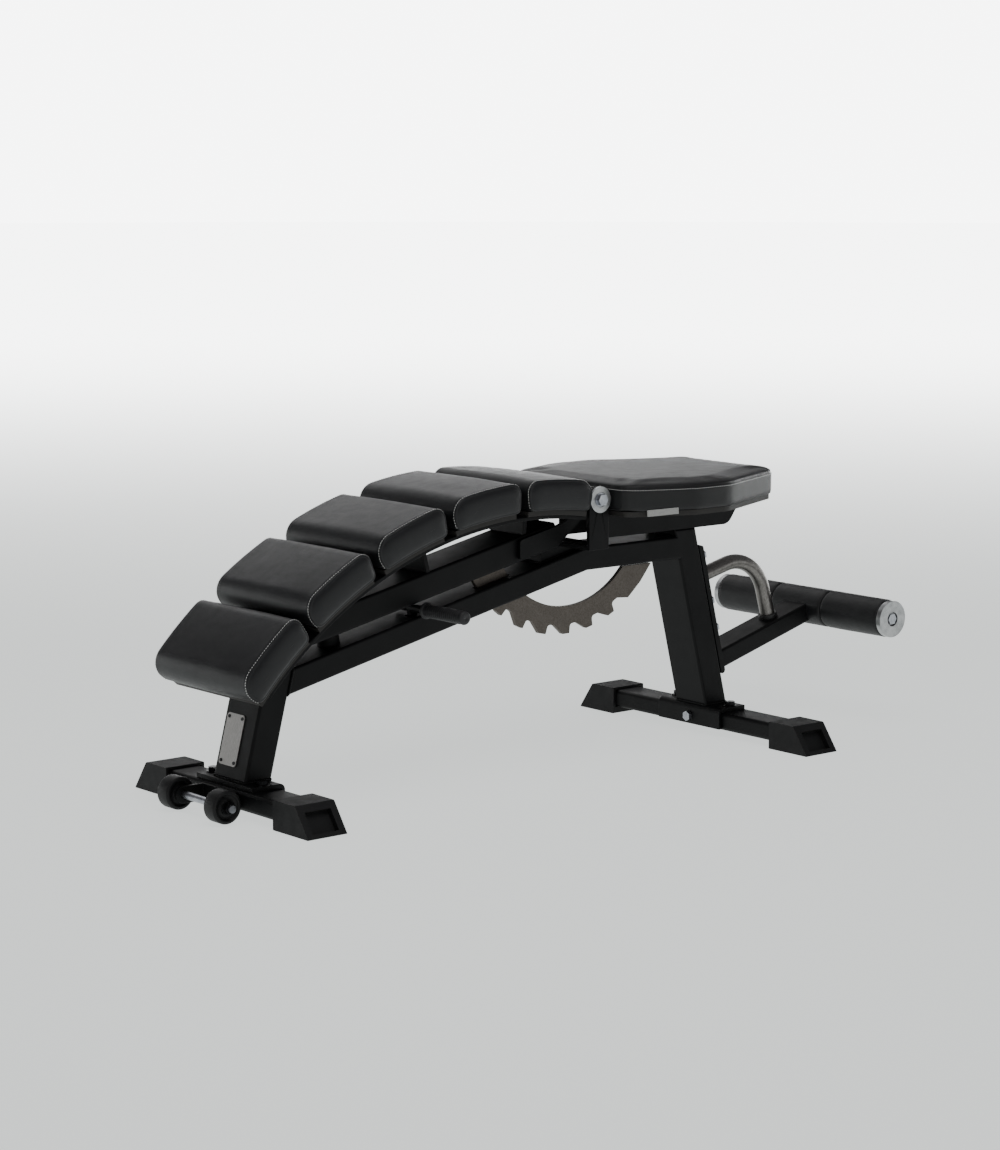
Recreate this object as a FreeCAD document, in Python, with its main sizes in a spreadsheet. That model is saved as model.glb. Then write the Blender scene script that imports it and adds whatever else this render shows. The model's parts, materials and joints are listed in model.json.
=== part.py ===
import FreeCAD, Part
import math
import os

# Segmented adjustable exercise bench. Millimetres, +Z up, +X towards the leg roller, +Y to the left.
# The origin is on the floor at the middle of the bench's length and width.

Vector = FreeCAD.Vector
doc = FreeCAD.newDocument("adjustable_weight_bench")

# ------------------------------------------------------------------ driving dimensions

DIMENSIONS = dict(
    # floor bases
    front_base_x=-613.5, rear_base_x=416.5, front_base_span=490, rear_base_span=600,
    cross_tube_width=64, cross_tube_height=32, cross_tube_floor_gap=12, cross_tube_corner=7, tube_wall=3,
    tube_corner=4.5,
    foot_width=75, foot_length=94.6, foot_height=48.5, foot_slope=34.6, foot_tube_inset=38,
    foot_recess_width=50, foot_recess_depth=9, foot_recess_low=9, foot_recess_high=47,
    saddle_thickness=8, saddle_front_width=156, saddle_rear_width=160, saddle_overhang=26, saddle_flange_low=14,
    saddle_bolt_side=68,
    # posts and main beam
    post_depth=50, front_post_width=90, rear_post_width=80, front_post_lean=14.5, rear_post_lean=14,
    front_post_x=-604, rear_post_x=409.5, rear_post_top=379,
    beam_height=40, beam_width=90, beam_slope=12.6, beam_knee_x=92, beam_level=347,
    plate_width=48, plate_length=84, plate_thickness=1.5, plate_side_shift=12, plate_mid_height=107,
    plate_corner=6, rivet_inset=6, rivet_radius=1.6, rivet_bore=1.7, rivet_head_radius=2.8, rivet_head=1,
    # backrest hinge
    pivot_x=60, pivot_z=459.5, yoke_half_width=22, yoke_outer=224, yoke_inner=208, yoke_shelf=373,
    yoke_plate=8, riser_width=60, riser_front_x=0, pin_radius=8, disc_radius=22.5, disc_thickness=4,
    barrel_radius=18, barrel_length=200, bush_radius=12, bush_length=25, bush_flange_radius=16,
    bush_flange=3, running_clearance=0.05, lug_outer=106, lug_round=20, lug_front_x=-66, lug_rear_x=18,
    lug_neck_x=34, lug_inset=5, lug_hang=34, disc_seat=2,
    # backrest frame, an arch above a straight chord tube
    chord_front_x=-505, chord_rear_x=22, chord_slope=12.3, chord_mid_z=335.3, chord_mid_x=-254,
    chord_height=44, chord_clearance=3,
    arch_x=-92, arch_z=-292, arch_inner_radius=729.5, arch_plate=6, arch_width=236,
    arch_start=-47.4, arch_end=9.2, web_width=90, web_thickness=8,
    board_thickness=9, board_width=240, board_half_angle=5.0,
    pad_top_radius=798, pad_width=265, pad_half_angle=5.15, pad_flare_angle=0.4,
    pad_first_angle=-43.95, pad_pitch_angle=12, pad_top_round=22,
    # ratchet quadrant and its latch
    quadrant_y=-20, quadrant_thickness=8, tooth_pitch=12.8, gullet_radius=226.5, tip_radius=243,
    gullet_first=-136.5, quadrant_inner_x=66, quadrant_inner_z=436, quadrant_inner_radius=171,
    quadrant_free_end_z=322, latch_travel=22, latch_height=12, latch_thickness=8, latch_nose=9,
    latch_bite=8, latch_length=155, grip_x=-275, grip_z=297, rod_radius=7,
    grip_radius=11.5, grip_length=106, grip_start=60, guide_clearance=0.2, spring_radius=5.5,
    spring_wire=1.4, spring_pitch=4.2, spring_length=38, bumper_x=-430, bumper_radius=19,
    latch_shoulder=14, grip_flange=2.5, grip_flange_length=5, grip_cap=8, guide_offset=50,
    guide_length=25, guide_width=40, slot_half=6, spring_stop=4,
    # seat
    seat_bracket_width=80, seat_bracket_low=379, seat_bracket_top=429, seat_bracket_front=100,
    seat_bracket_rear=470, seat_bracket_nose=36, seat_bracket_wall=4, seat_board_inset=8,
    seat_board_thickness=9, seat_thickness=50, seat_front_x=84, seat_rear_x=479,
    seat_front_half=154, seat_wide_half=200, seat_rear_half=118, seat_wide_from=209,
    seat_wide_to=287, seat_corner=26, seat_board_corner=20,
    # leg roller
    arm_plate_low=107, arm_plate_top=344, arm_plate_thickness=10, arm_slope=16, arm_width=60,
    arm_height=34, roller_x=680.5, roller_z=201, roller_radius=34.5, roller_half_span=216.5,
    axle_radius=10, core_radius=15, centre_half=63, roller_gap=1, end_cap_thickness=10,
    end_cap_radius=33.5, cap_recess_radius=13, cap_recess_floor=4, cap_hole_radius=6.4, axle_inset=1.5,
    arm_end=17, arm_hollow_end=-24, handle_radius=13.5, handle_bend=80, handle_top_x=485,
    handle_top_z=300.5, collar_radius=17.5, collar_height=8,
    # transport wheels
    wheel_x=-688, wheel_z=28.5, wheel_radius=27, wheel_width=30, wheel_centre_y=66, wheel_axle_radius=6.25,
    wheel_axle_length=190, bracket_arm=8, bracket_span=96, bracket_nose=15, bracket_back=7,
    # fasteners
    hex_ten=9.2, hex_twelve=10.4, head_ten=6.5, head_twelve=7.5, shank_ten=5, shank_twelve=6,
    washer_thickness=1.5, washer_radius=12,
)

sheet = doc.addObject("Spreadsheet::Sheet", "Dimensions")
for row, (alias, number) in enumerate(DIMENSIONS.items(), start=1):
    sheet.set("A%d" % row, alias)
    sheet.set("B%d" % row, str(number))
    sheet.setAlias("B%d" % row, alias)
doc.recompute()


class Cells:
    """Reads a driving dimension back from the sheet."""

    def __getattr__(self, alias):
        return float(sheet.get(alias))


d = Cells()
subparts = {}

# ------------------------------------------------------------------ plane geometry helpers


def polar(centre, radius, angle):
    """The point at an angle in degrees, anticlockwise from +X."""
    a = math.radians(angle)
    return (centre[0] + radius * math.cos(a), centre[1] + radius * math.sin(a))


def meet(point_a, angle_a, point_b, angle_b):
    """Where two lines cross, each given by a point and an angle in degrees."""
    ax, az = math.cos(math.radians(angle_a)), math.sin(math.radians(angle_a))
    bx, bz = math.cos(math.radians(angle_b)), math.sin(math.radians(angle_b))
    reach = ((point_b[0] - point_a[0]) * bz - (point_b[1] - point_a[1]) * bx) / (ax * bz - az * bx)
    return (point_a[0] + ax * reach, point_a[1] + az * reach)


def shifted(point, angle, along, across=0):
    """A point moved along a direction and, anticlockwise of it, across."""
    a = math.radians(angle)
    return (point[0] + along * math.cos(a) - across * math.sin(a),
            point[1] + along * math.sin(a) + across * math.cos(a))


def segment(a, b):
    return Part.LineSegment(Vector(a[0], a[1], 0), Vector(b[0], b[1], 0))


def arc(centre, radius, start, end):
    """An arc through three points, from one angle to another."""
    through = [polar(centre, radius, angle) for angle in (start, (start + end) / 2, end)]
    return Part.Arc(*[Vector(x, y, 0) for x, y in through])


def circle(centre, radius):
    return [Part.Circle(Vector(centre[0], centre[1], 0), Vector(0, 0, 1), radius)]


def outline(*corners, closed=True):
    """Straight edges through the corners. A corner is (x, y) or, rounded, (x, y, radius)."""
    edges, starts, ends = [], [], []
    for i, corner in enumerate(corners):
        here = Vector(corner[0], corner[1], 0)
        radius = corner[2] if len(corner) > 2 else 0
        before = Vector(corners[i - 1][0], corners[i - 1][1], 0) - here
        after = Vector(corners[(i + 1) % len(corners)][0], corners[(i + 1) % len(corners)][1], 0) - here
        before.normalize()
        after.normalize()
        half = before.getAngle(after) / 2
        cut = radius / math.tan(half) if radius else 0
        starts.append(here + before * cut)
        ends.append(here + after * cut)
        if radius:
            middle = before + after
            middle.normalize()
            centre = here + middle * (radius / math.sin(half))
            edges.append(Part.Arc(starts[-1], centre - middle * radius, ends[-1]))
    for i in range(0 if closed else 1, len(corners)):
        edges.append(Part.LineSegment(ends[i - 1], starts[i]))
    return edges


# ------------------------------------------------------------------ feature helpers


def new_body(label):
    body = doc.addObject("PartDesign::Body", label)
    body.Label = label
    subparts[label] = body
    return body


def feature(body, kind, plane, edges, length, symmetric=True, reverse=False, shift=0):
    """A Pad or Pocket of a sketch on one of the body's origin planes; length is an alias or a number."""
    doc.recompute()
    volume = body.Shape.Volume if body.Tip else 0
    sketch = body.newObject("Sketcher::SketchObject", body.Label + "_sketch")
    origin_plane = next(f for f in body.Origin.OriginFeatures if f.Role == plane + "_Plane")
    sketch.AttachmentSupport = [(origin_plane, "")]
    sketch.MapMode = "FlatFace"
    sketch.AttachmentOffset = FreeCAD.Placement(Vector(0, 0, shift), FreeCAD.Rotation())
    sketch.addGeometry(edges, False)
    made = body.newObject("PartDesign::" + kind, body.Label + "_" + kind.lower())
    made.Profile = sketch
    made.SideType = "Symmetric" if symmetric else "One side"
    made.Reversed = reverse
    if isinstance(length, str):
        made.setExpression("Length", "Dimensions." + length)
    else:
        made.Length = length
    doc.recompute()
    if kind == "Pocket" and body.Shape.Volume >= volume:
        raise RuntimeError(body.Label + ": a pocket cut nothing")
    return made


def pad(body, plane, edges, length, **sides):
    return feature(body, "Pad", plane, edges, length, **sides)


def pocket(body, plane, edges, length, **sides):
    return feature(body, "Pocket", plane, edges, length, **sides)


def round_edges(body, radius, chosen):
    """Fillets the straight edges that pass the test, which takes an edge's two end points."""
    base = body.Tip
    names = ["Edge%d" % (i + 1) for i, edge in enumerate(base.Shape.Edges)
             if len(edge.Vertexes) == 2 and chosen(edge.Vertexes[0].Point, edge.Vertexes[1].Point)]
    fillet = body.newObject("PartDesign::Fillet", body.Label + "_fillet")
    fillet.Base = (base, names)
    fillet.Radius = radius
    doc.recompute()


def round_corners(body, half_width):
    """Rounds the long outer corners of a rectangular tube lying in the XZ plane."""
    round_edges(body, d.tube_corner, lambda a, b: abs(a.y - b.y) < 1e-3 and abs(abs(a.y) - half_width) < 1e-3
                and (a - b).Length > 10 * d.tube_corner)


def place(item, base, rotation=None):
    item.Placement = FreeCAD.Placement(Vector(*base), rotation or FreeCAD.Rotation())
    return item


def rod(name, radius, length, start, direction=(0, 1, 0)):
    """A Part cylinder from a start point along a direction; sizes are aliases or numbers."""
    made = doc.addObject("Part::Cylinder", name)
    for prop, value in (("Radius", radius), ("Height", length)):
        if isinstance(value, str):
            made.setExpression(prop, "Dimensions." + value)
        else:
            setattr(made, prop, value)
    return place(made, start, FreeCAD.Rotation(Vector(0, 0, 1), Vector(*direction)))


def hexagon(name, circumradius, height, start, direction):
    made = doc.addObject("Part::Prism", name)
    made.Polygon = 6
    made.setExpression("Circumradius", "Dimensions." + circumradius)
    made.setExpression("Height", "Dimensions." + height)
    return place(made, start, FreeCAD.Rotation(Vector(0, 0, 1), Vector(*direction)))


def cut(name, base, tool):
    made = doc.addObject("Part::Cut", name)
    made.Base, made.Tool = base, tool
    return made


def fuse(name, items):
    made = doc.addObject("Part::MultiFuse", name)
    made.Shapes = items
    return made


def keep(label, item):
    item.Label = label
    subparts[label] = item
    return item


def group(label, items):
    """Several identical solids as one sub-part."""
    made = doc.addObject("Part::Compound", label)
    made.Links = items
    return keep(label, made)


def bolt(name, start, direction, grip, size="twelve", washer=True):
    """Hexagon bolt: start is where the washer or head rests, direction points out of the surface."""
    out = Vector(*direction)
    out.normalize()
    rest = Vector(*start)
    seat = rest + out * (d.washer_thickness if washer else 0)
    shank = rod(name + "_shank", "shank_" + size, grip + (seat - rest).Length, tuple(rest - out * grip), tuple(out))
    items = [hexagon(name + "_head", "hex_" + size, "head_" + size, tuple(seat), tuple(out)), shank]
    if washer:
        items.append(rod(name + "_washer", "washer_radius", "washer_thickness", tuple(rest), tuple(out)))
    return fuse(name, items)


def drilled(name, base, holes):
    """The base with round holes; each hole is (start, direction, length, radius)."""
    tools = [rod(name + "_hole", radius, length, start, direction) for start, direction, length, radius in holes]
    return cut(name, base, fuse(name + "_holes", tools) if len(tools) > 1 else tools[0])


SIDES = (("left", 1), ("right", -1))
HOLE_SLACK = 0.1

# ------------------------------------------------------------------ floor bases

TUBE_TOP = d.cross_tube_floor_gap + d.cross_tube_height
SADDLE_TOP = TUBE_TOP + d.saddle_thickness


def cross_tube(label, x, span_alias):
    half, low, wall = d.cross_tube_width / 2, d.cross_tube_floor_gap, d.tube_wall
    body = new_body(label)

    def section(inset, corner):
        return outline((x - half + inset, low + inset, corner), (x + half - inset, low + inset, corner),
                       (x + half - inset, TUBE_TOP - inset, corner), (x - half + inset, TUBE_TOP - inset, corner))

    made = pad(body, "XZ", section(0, d.cross_tube_corner) + section(wall, d.cross_tube_corner - wall), 1)
    made.setExpression("Length", "Dimensions.%s - 2 * Dimensions.foot_tube_inset" % span_alias)
    return body


def saddle(label, x, inward, width_alias):
    """Bent plate on top of a cross tube, its flange down the tube's inward side."""
    thick = d.saddle_thickness
    face = x + inward * (d.cross_tube_width / 2 + HOLE_SLACK)
    outer = face + inward * thick * 0.8
    far = x - inward * d.saddle_overhang
    body = new_body(label)
    pad(body, "XZ", outline((far, TUBE_TOP), (far, SADDLE_TOP), (outer, SADDLE_TOP, thick * 1.25),
                            (outer, d.saddle_flange_low), (face, d.saddle_flange_low), (face, TUBE_TOP)), width_alias)
    bore = d.shank_ten + HOLE_SLACK
    pocket(body, "XY", circle((x, d.saddle_bolt_side), bore) + circle((x, -d.saddle_bolt_side), bore),
           4 * SADDLE_TOP)
    pocket(body, "YZ", circle((0, flange_bolt_height()), bore), 4 * abs(x))
    return body


def flange_bolt_height():
    return (d.cross_tube_floor_gap + TUBE_TOP) / 2


def foot(label, x, side, span):
    """Rubber end cap, a socket over the tube's end; its outer face slopes and has a shallow recess."""
    length, height, slope = d.foot_length, d.foot_height, d.foot_slope
    lean = math.degrees(math.atan2(height, -slope))
    body = new_body(label)
    pad(body, "YZ", outline((0, 0, 2), (length, 0, 1), (length - slope, height, 5), (0, height, 2)), "foot_width")
    socket_end = length - d.foot_tube_inset
    pocket(body, "YZ", outline((-1, d.cross_tube_floor_gap), (socket_end, d.cross_tube_floor_gap),
                               (socket_end, TUBE_TOP), (-1, TUBE_TOP)), "cross_tube_width")
    low = shifted((length, 0), lean, d.foot_recess_low)
    high = shifted((length, 0), lean, d.foot_recess_high)
    depth = d.foot_recess_depth
    pocket(body, "YZ", outline(shifted(low, lean, 0, -2), shifted(high, lean, 0, -2),
                               shifted(high, lean, 0, depth), shifted(low, lean, 0, depth)), "foot_recess_width")
    if side > 0:
        place(body, (x, span / 2 - length, 0))
    else:
        place(body, (x, -span / 2 + length, 0), FreeCAD.Rotation(Vector(0, 0, 1), 180))
    return body


def base_bolts():
    """Two bolts down through each saddle and one through each flange."""
    made = []
    for x, inward in ((d.front_base_x, 1), (d.rear_base_x, -1)):
        for _, side in SIDES:
            made.append(bolt("saddle_bolt", (x, side * d.saddle_bolt_side, SADDLE_TOP), (0, 0, 1),
                             SADDLE_TOP - TUBE_TOP + 6, "ten"))
        face = x + inward * (d.cross_tube_width / 2 + HOLE_SLACK + d.saddle_thickness * 0.8)
        made.append(bolt("flange_bolt", (face, 0, flange_bolt_height()), (inward, 0, 0), 14, "ten", washer=False))
    return made


for end, x, inward in (("front", d.front_base_x, 1), ("rear", d.rear_base_x, -1)):
    tube = cross_tube(end + "_cross_tube", x, end + "_base_span")
    bore = d.shank_ten + HOLE_SLACK
    pocket(tube, "XY", circle((x, d.saddle_bolt_side), bore) + circle((x, -d.saddle_bolt_side), bore), 4 * TUBE_TOP)
    pocket(tube, "YZ", circle((0, flange_bolt_height()), bore), 4 * abs(x))
    saddle(end + "_saddle", x, inward, "saddle_%s_width" % end)
    for hand, side in SIDES:
        foot("%s_%s_foot" % (end, hand), x, side, getattr(d, end + "_base_span"))
group("saddle_bolts", base_bolts())

# ------------------------------------------------------------------ posts and main beam

BEAM_KNEE = (d.beam_knee_x, d.beam_level)
HALF_BEAM = d.beam_height / 2


def beam_top(x, lift=0):
    """Height of the main beam's top face at x."""
    sloped = meet(shifted(BEAM_KNEE, d.beam_slope, 0, HALF_BEAM), d.beam_slope, (x, 0), 90)[1]
    return min(sloped, d.beam_level + HALF_BEAM) + lift


def post_axis(x, lean):
    """A point on a leaning post's axis at its foot, and the axis's angle."""
    return (x, SADDLE_TOP), 90 - lean


def post(label, x, lean, top_point, top_angle, width_alias):
    """Rectangular tube, open at its foot and closed at its top."""
    foot_point, axis = post_axis(x, lean)
    half, wall = d.post_depth / 2, d.tube_wall
    body = new_body(label)

    def section(inset, low):
        right, left = shifted(foot_point, axis, 0, -half + inset), shifted(foot_point, axis, 0, half - inset)
        roof = shifted(top_point, top_angle, 0, -inset)
        return outline(meet(left, axis, (0, low), 0), meet(right, axis, (0, low), 0),
                       meet(right, axis, roof, top_angle), meet(left, axis, roof, top_angle))

    pad(body, "XZ", section(0, SADDLE_TOP), width_alias)
    round_corners(body, getattr(d, width_alias) / 2)
    pocket(body, "XZ", section(wall, SADDLE_TOP - 1), getattr(d, width_alias) - 2 * wall)
    return body


def main_beam():
    """Rectangular tube with a knee, mitred to both posts, slotted for the quadrant and the latch."""
    front_point, front_angle = post_axis(d.front_post_x, d.front_post_lean)
    rear_point, rear_angle = post_axis(d.rear_post_x, -d.rear_post_lean)
    front_face = shifted(front_point, front_angle, 0, -d.post_depth / 2)
    rear_face = shifted(rear_point, rear_angle, 0, d.post_depth / 2)

    def section(inset, extra):
        half = HALF_BEAM - inset
        front, rear = (front_face[0] - extra, front_face[1]), (rear_face[0] + extra, rear_face[1])
        low, high = shifted(BEAM_KNEE, d.beam_slope, 0, -half), shifted(BEAM_KNEE, d.beam_slope, 0, half)
        floor, roof = (0, d.beam_level - half), (0, d.beam_level + half)
        return outline(meet(low, d.beam_slope, front, front_angle), meet(low, d.beam_slope, floor, 0),
                       meet(floor, 0, rear, rear_angle), meet(roof, 0, rear, rear_angle),
                       meet(high, d.beam_slope, roof, 0), meet(high, d.beam_slope, front, front_angle))

    body = new_body("main_beam")
    pad(body, "XZ", section(0, 0), "beam_width")
    round_corners(body, d.beam_width / 2)
    pocket(body, "XZ", section(d.tube_wall, 2), d.beam_width - 2 * d.tube_wall)
    return body


front_top = (d.front_post_x, beam_top(d.front_post_x))
post("front_post", d.front_post_x, d.front_post_lean, front_top, d.beam_slope, "front_post_width")
post("rear_post", d.rear_post_x, -d.rear_post_lean, (0, d.rear_post_top), 0, "rear_post_width")
main_beam()


def on_front_post(along, across, out):
    """A point on the front post's forward face: along the post, to the left, and out of it."""
    foot_point, axis = post_axis(d.front_post_x, d.front_post_lean)
    x, z = shifted(foot_point, axis, along, d.post_depth / 2 + out)
    return (x, across, z)


PLATE_ALONG = (d.plate_mid_height - SADDLE_TOP) / math.cos(math.radians(d.front_post_lean))
POST_FACE = FreeCAD.Rotation(Vector(0, 1, 0), d.front_post_lean - 90)
plate = new_body("data_plate")
half_w, half_l = d.plate_width / 2, d.plate_length / 2
plate_corners = [(-half_l, -half_w), (half_l, -half_w), (half_l, half_w), (-half_l, half_w)]
plate_edge = outline(*[(*corner, d.plate_corner) for corner in plate_corners])
pad(plate, "XY", plate_edge, "plate_thickness", symmetric=False)
corners = [(i * (half_l - d.rivet_inset), j * (half_w - d.rivet_inset)) for i in (-1, 1) for j in (-1, 1)]
pocket(plate, "XY", sum([circle(corner, d.rivet_bore) for corner in corners], []), 4 * d.plate_thickness)
place(plate, on_front_post(PLATE_ALONG, d.plate_side_shift, 0), POST_FACE)


def rivet(along, across):
    """Round-headed rivet whose shank fills its hole in the plate."""
    out = Vector(*on_front_post(0, 0, 1)) - Vector(*on_front_post(0, 0, 0))
    start = Vector(*on_front_post(PLATE_ALONG + along, d.plate_side_shift + across, 0))
    shank = rod("rivet_shank", "rivet_radius", "plate_thickness", tuple(start), tuple(out))
    head = rod("rivet_head", "rivet_head_radius", "rivet_head", tuple(start + out * d.plate_thickness), tuple(out))
    return fuse("rivet", [shank, head])


group("data_plate_rivets", [rivet(*c) for c in corners])

# ------------------------------------------------------------------ hinge yoke, pin and discs

CHORD_MID = (d.chord_mid_x, d.chord_mid_z)
HALF_CHORD = d.chord_height / 2


def chord_line(x, across):
    """Height at x of a line parallel to the chord tube's axis, that far above it."""
    return meet(shifted(CHORD_MID, d.chord_slope, 0, across), d.chord_slope, (x, 0), 90)[1]


PIVOT = (d.pivot_x, d.pivot_z)
SHELF = d.yoke_shelf + d.yoke_plate
left_x, right_x = d.pivot_x - d.yoke_half_width, d.pivot_x + d.yoke_half_width
yoke = new_body("hinge_yoke")
pad(yoke, "XZ", [segment((left_x, d.pivot_z), (left_x, d.yoke_shelf)),
                 segment((left_x, d.yoke_shelf), (right_x, d.yoke_shelf)),
                 segment((right_x, d.yoke_shelf), (right_x, d.pivot_z)),
                 arc(PIVOT, d.yoke_half_width, 0, 180)], "yoke_outer")
clear_top = d.pivot_z + 2 * d.yoke_half_width
pocket(yoke, "XZ", outline((left_x - 1, SHELF), (right_x + 1, SHELF),
                           (right_x + 1, clear_top), (left_x - 1, clear_top)), "yoke_inner")
riser_nose = chord_line(d.riser_front_x, -HALF_CHORD) - d.chord_clearance
pad(yoke, "XZ", outline((d.riser_front_x, beam_top(d.riser_front_x)), (right_x, beam_top(right_x)),
                        (right_x, d.yoke_shelf), (left_x, d.yoke_shelf),
                        (d.riser_front_x, riser_nose)), "riser_width")
pocket(yoke, "XZ", circle(PIVOT, d.pin_radius + d.running_clearance), 2 * d.yoke_outer)

HALF_YOKE = d.yoke_outer / 2
keep("hinge_pin", rod("hinge_pin", "pin_radius", "yoke_outer", (d.pivot_x, -HALF_YOKE, d.pivot_z)))


def on_pivot(y):
    return (d.pivot_x, y, d.pivot_z)


def side_pair(label, make):
    """The same piece on the left and the right, as one sub-part; make takes the side."""
    return group(label, [make(side) for _, side in SIDES])


def hinge_disc(side):
    """Thick aluminium washer with a shallow seat for the bolt head."""
    disc = rod("disc", "disc_radius", "disc_thickness", on_pivot(side * HALF_YOKE), (0, side, 0))
    seat = rod("disc_seat", d.washer_radius + 1, d.disc_thickness, on_pivot(side * (HALF_YOKE + d.disc_seat)),
               (0, side, 0))
    return cut("hinge_disc", disc, seat)


def hinge_bolt(side):
    """Bolt head and washer, screwed against the pin's end."""
    return bolt("hinge_bolt", on_pivot(side * (HALF_YOKE + d.disc_seat)), (0, side, 0), 0, "twelve")


side_pair("hinge_discs", hinge_disc)

# ------------------------------------------------------------------ backrest frame

def chord_tube():
    """Straight rectangular tube, closed at both ends."""
    body = new_body("backrest_beam")
    normal = d.chord_slope + 90

    def section(inset, front, rear):
        low = shifted(CHORD_MID, d.chord_slope, 0, -HALF_CHORD + inset)
        high = shifted(CHORD_MID, d.chord_slope, 0, HALF_CHORD - inset)
        ends = [meet(CHORD_MID, d.chord_slope, (x, 0), 90) for x in (front, rear)]
        return outline(meet(low, d.chord_slope, ends[0], normal), meet(low, d.chord_slope, ends[1], normal),
                       meet(high, d.chord_slope, ends[1], normal), meet(high, d.chord_slope, ends[0], normal))

    pad(body, "XZ", section(0, d.chord_front_x, d.chord_rear_x), "beam_width")
    round_corners(body, d.beam_width / 2)
    pocket(body, "XZ", section(d.tube_wall, d.chord_front_x + d.tube_wall, d.chord_rear_x - d.tube_wall),
           d.beam_width - 2 * d.tube_wall)
    return body


def barrel():
    """Cross tube on the hinge pin, with two lug plates welded down to the chord tube's sides."""
    body = new_body("hinge_barrel")
    inner, outer = HALF_CHORD - d.lug_inset, d.lug_round
    front, rear, neck = d.lug_front_x, d.lug_rear_x, d.lug_neck_x
    shoulder = neck - 14
    lug = outline((front, chord_line(front, -inner), 6),
                  (rear, chord_line(rear, -inner), 8),
                  (d.pivot_x + outer, d.pivot_z - d.lug_hang, 26),
                  (d.pivot_x + outer, d.pivot_z + outer, outer - 0.5),
                  (d.pivot_x - outer, d.pivot_z + outer, outer - 0.5),
                  (d.pivot_x - outer, chord_line(neck, inner) + 4, 6),
                  (shoulder, chord_line(shoulder, inner), 8),
                  (front, chord_line(front, inner), 6))
    pad(body, "XZ", lug, "lug_outer")
    below, above = (front - 5, 0), (d.pivot_x + 2 * outer, 2 * d.pivot_z)
    pocket(body, "XZ", outline(below, (above[0], below[1]), above, (below[0], above[1])), "beam_width")
    pad(body, "XZ", circle(PIVOT, d.barrel_radius), "barrel_length")
    pocket(body, "XZ", circle(PIVOT, d.bush_radius), 2 * d.yoke_outer)
    return body


def bush(side):
    """Flanged nylon bush in the barrel's end, running on the pin."""
    end = side * d.barrel_length / 2
    sleeve = rod("bush_sleeve", "bush_radius", "bush_length", on_pivot(end), (0, -side, 0))
    flange = rod("bush_flange", "bush_flange_radius", "bush_flange", on_pivot(end), (0, side, 0))
    bore = rod("bush_bore", d.pin_radius + d.running_clearance, d.yoke_outer, on_pivot(-HALF_YOKE))
    return cut("hinge_bush", fuse("bush_body", [sleeve, flange]), bore)


chord_tube()
barrel()
side_pair("hinge_bushes", bush)

ARCH = (d.arch_x, d.arch_z)
PLATE_RADIUS = d.arch_inner_radius + d.arch_plate
BOARD_RADIUS = PLATE_RADIUS + d.board_thickness


def on_arch(radius, lean):
    """A point on the arch, lean being degrees from straight up, towards +X."""
    return polar(ARCH, radius, 90 - lean)


def sector(inner, outer, start, end, flare=0):
    """A closed slice of a ring about the arch's centre, its outer side longer by flare at each end."""
    return [arc(ARCH, inner, 90 - start, 90 - end), segment(on_arch(inner, end), on_arch(outer, end + flare)),
            arc(ARCH, outer, 90 - end - flare, 90 - start + flare),
            segment(on_arch(outer, start - flare), on_arch(inner, start))]


arch_plate = new_body("arch_plate")
pad(arch_plate, "XZ", sector(d.arch_inner_radius, PLATE_RADIUS, d.arch_start, d.arch_end), "arch_width")

WEB_ANGLES = (-32.05, -14.3, 3.5)


def arch_web(lean):
    """Upright plate between the chord tube's top and the arch plate, on a footing each way."""
    half = d.web_thickness / 2
    body = doc.addObject("PartDesign::Body", "arch_web")
    top, axis = on_arch(d.arch_inner_radius, lean), 90 - lean
    chord_top = shifted(CHORD_MID, d.chord_slope, 0, HALF_CHORD)
    corners = [meet(shifted(top, axis, 0, half), axis, chord_top, d.chord_slope),
               meet(shifted(top, axis, 0, -half), axis, chord_top, d.chord_slope)]
    reach = math.degrees(half / d.arch_inner_radius)
    edges = [segment(corners[0], corners[1]), segment(corners[1], on_arch(d.arch_inner_radius, lean + reach)),
             arc(ARCH, d.arch_inner_radius, 90 - lean - reach, 90 - lean + reach),
             segment(on_arch(d.arch_inner_radius, lean - reach), corners[0])]
    pad(body, "XZ", edges, "web_width")
    return body


group("arch_webs", [arch_web(lean) for lean in WEB_ANGLES])

for number in range(5):
    lean = d.pad_first_angle + number * d.pad_pitch_angle
    board = new_body("pad_board_%d" % (number + 1))
    pad(board, "XZ", sector(PLATE_RADIUS, BOARD_RADIUS, lean - d.board_half_angle, lean + d.board_half_angle),
        "board_width")
    cushion = new_body("back_pad_%d" % (number + 1))
    pad(cushion, "XZ", sector(BOARD_RADIUS, d.pad_top_radius, lean - d.pad_half_angle, lean + d.pad_half_angle,
                              d.pad_flare_angle), "pad_width")
    round_edges(cushion, d.pad_top_round,
                lambda a, b: abs(a.y - b.y) > 1 and math.dist(ARCH, (a.x, a.z)) > d.pad_top_radius - 1)

# ------------------------------------------------------------------ ratchet quadrant

QUADRANT_CENTRE = (d.quadrant_inner_x, d.quadrant_inner_z)
GULLETS = 7
TIP_LEAD, TIP_TRAIL, FLOOR_HALF = 6.0, 2.4, 1.8


def chord_underside(centre, radius, low, high):
    """The point of a circle that lies on the chord tube's underside, between two angles."""
    for _ in range(40):
        middle = (low + high) / 2
        point = polar(centre, radius, middle)
        if point[1] > chord_line(point[0], -HALF_CHORD):
            low = middle
        else:
            high = middle
    return polar(centre, radius, (low + high) / 2)


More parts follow.
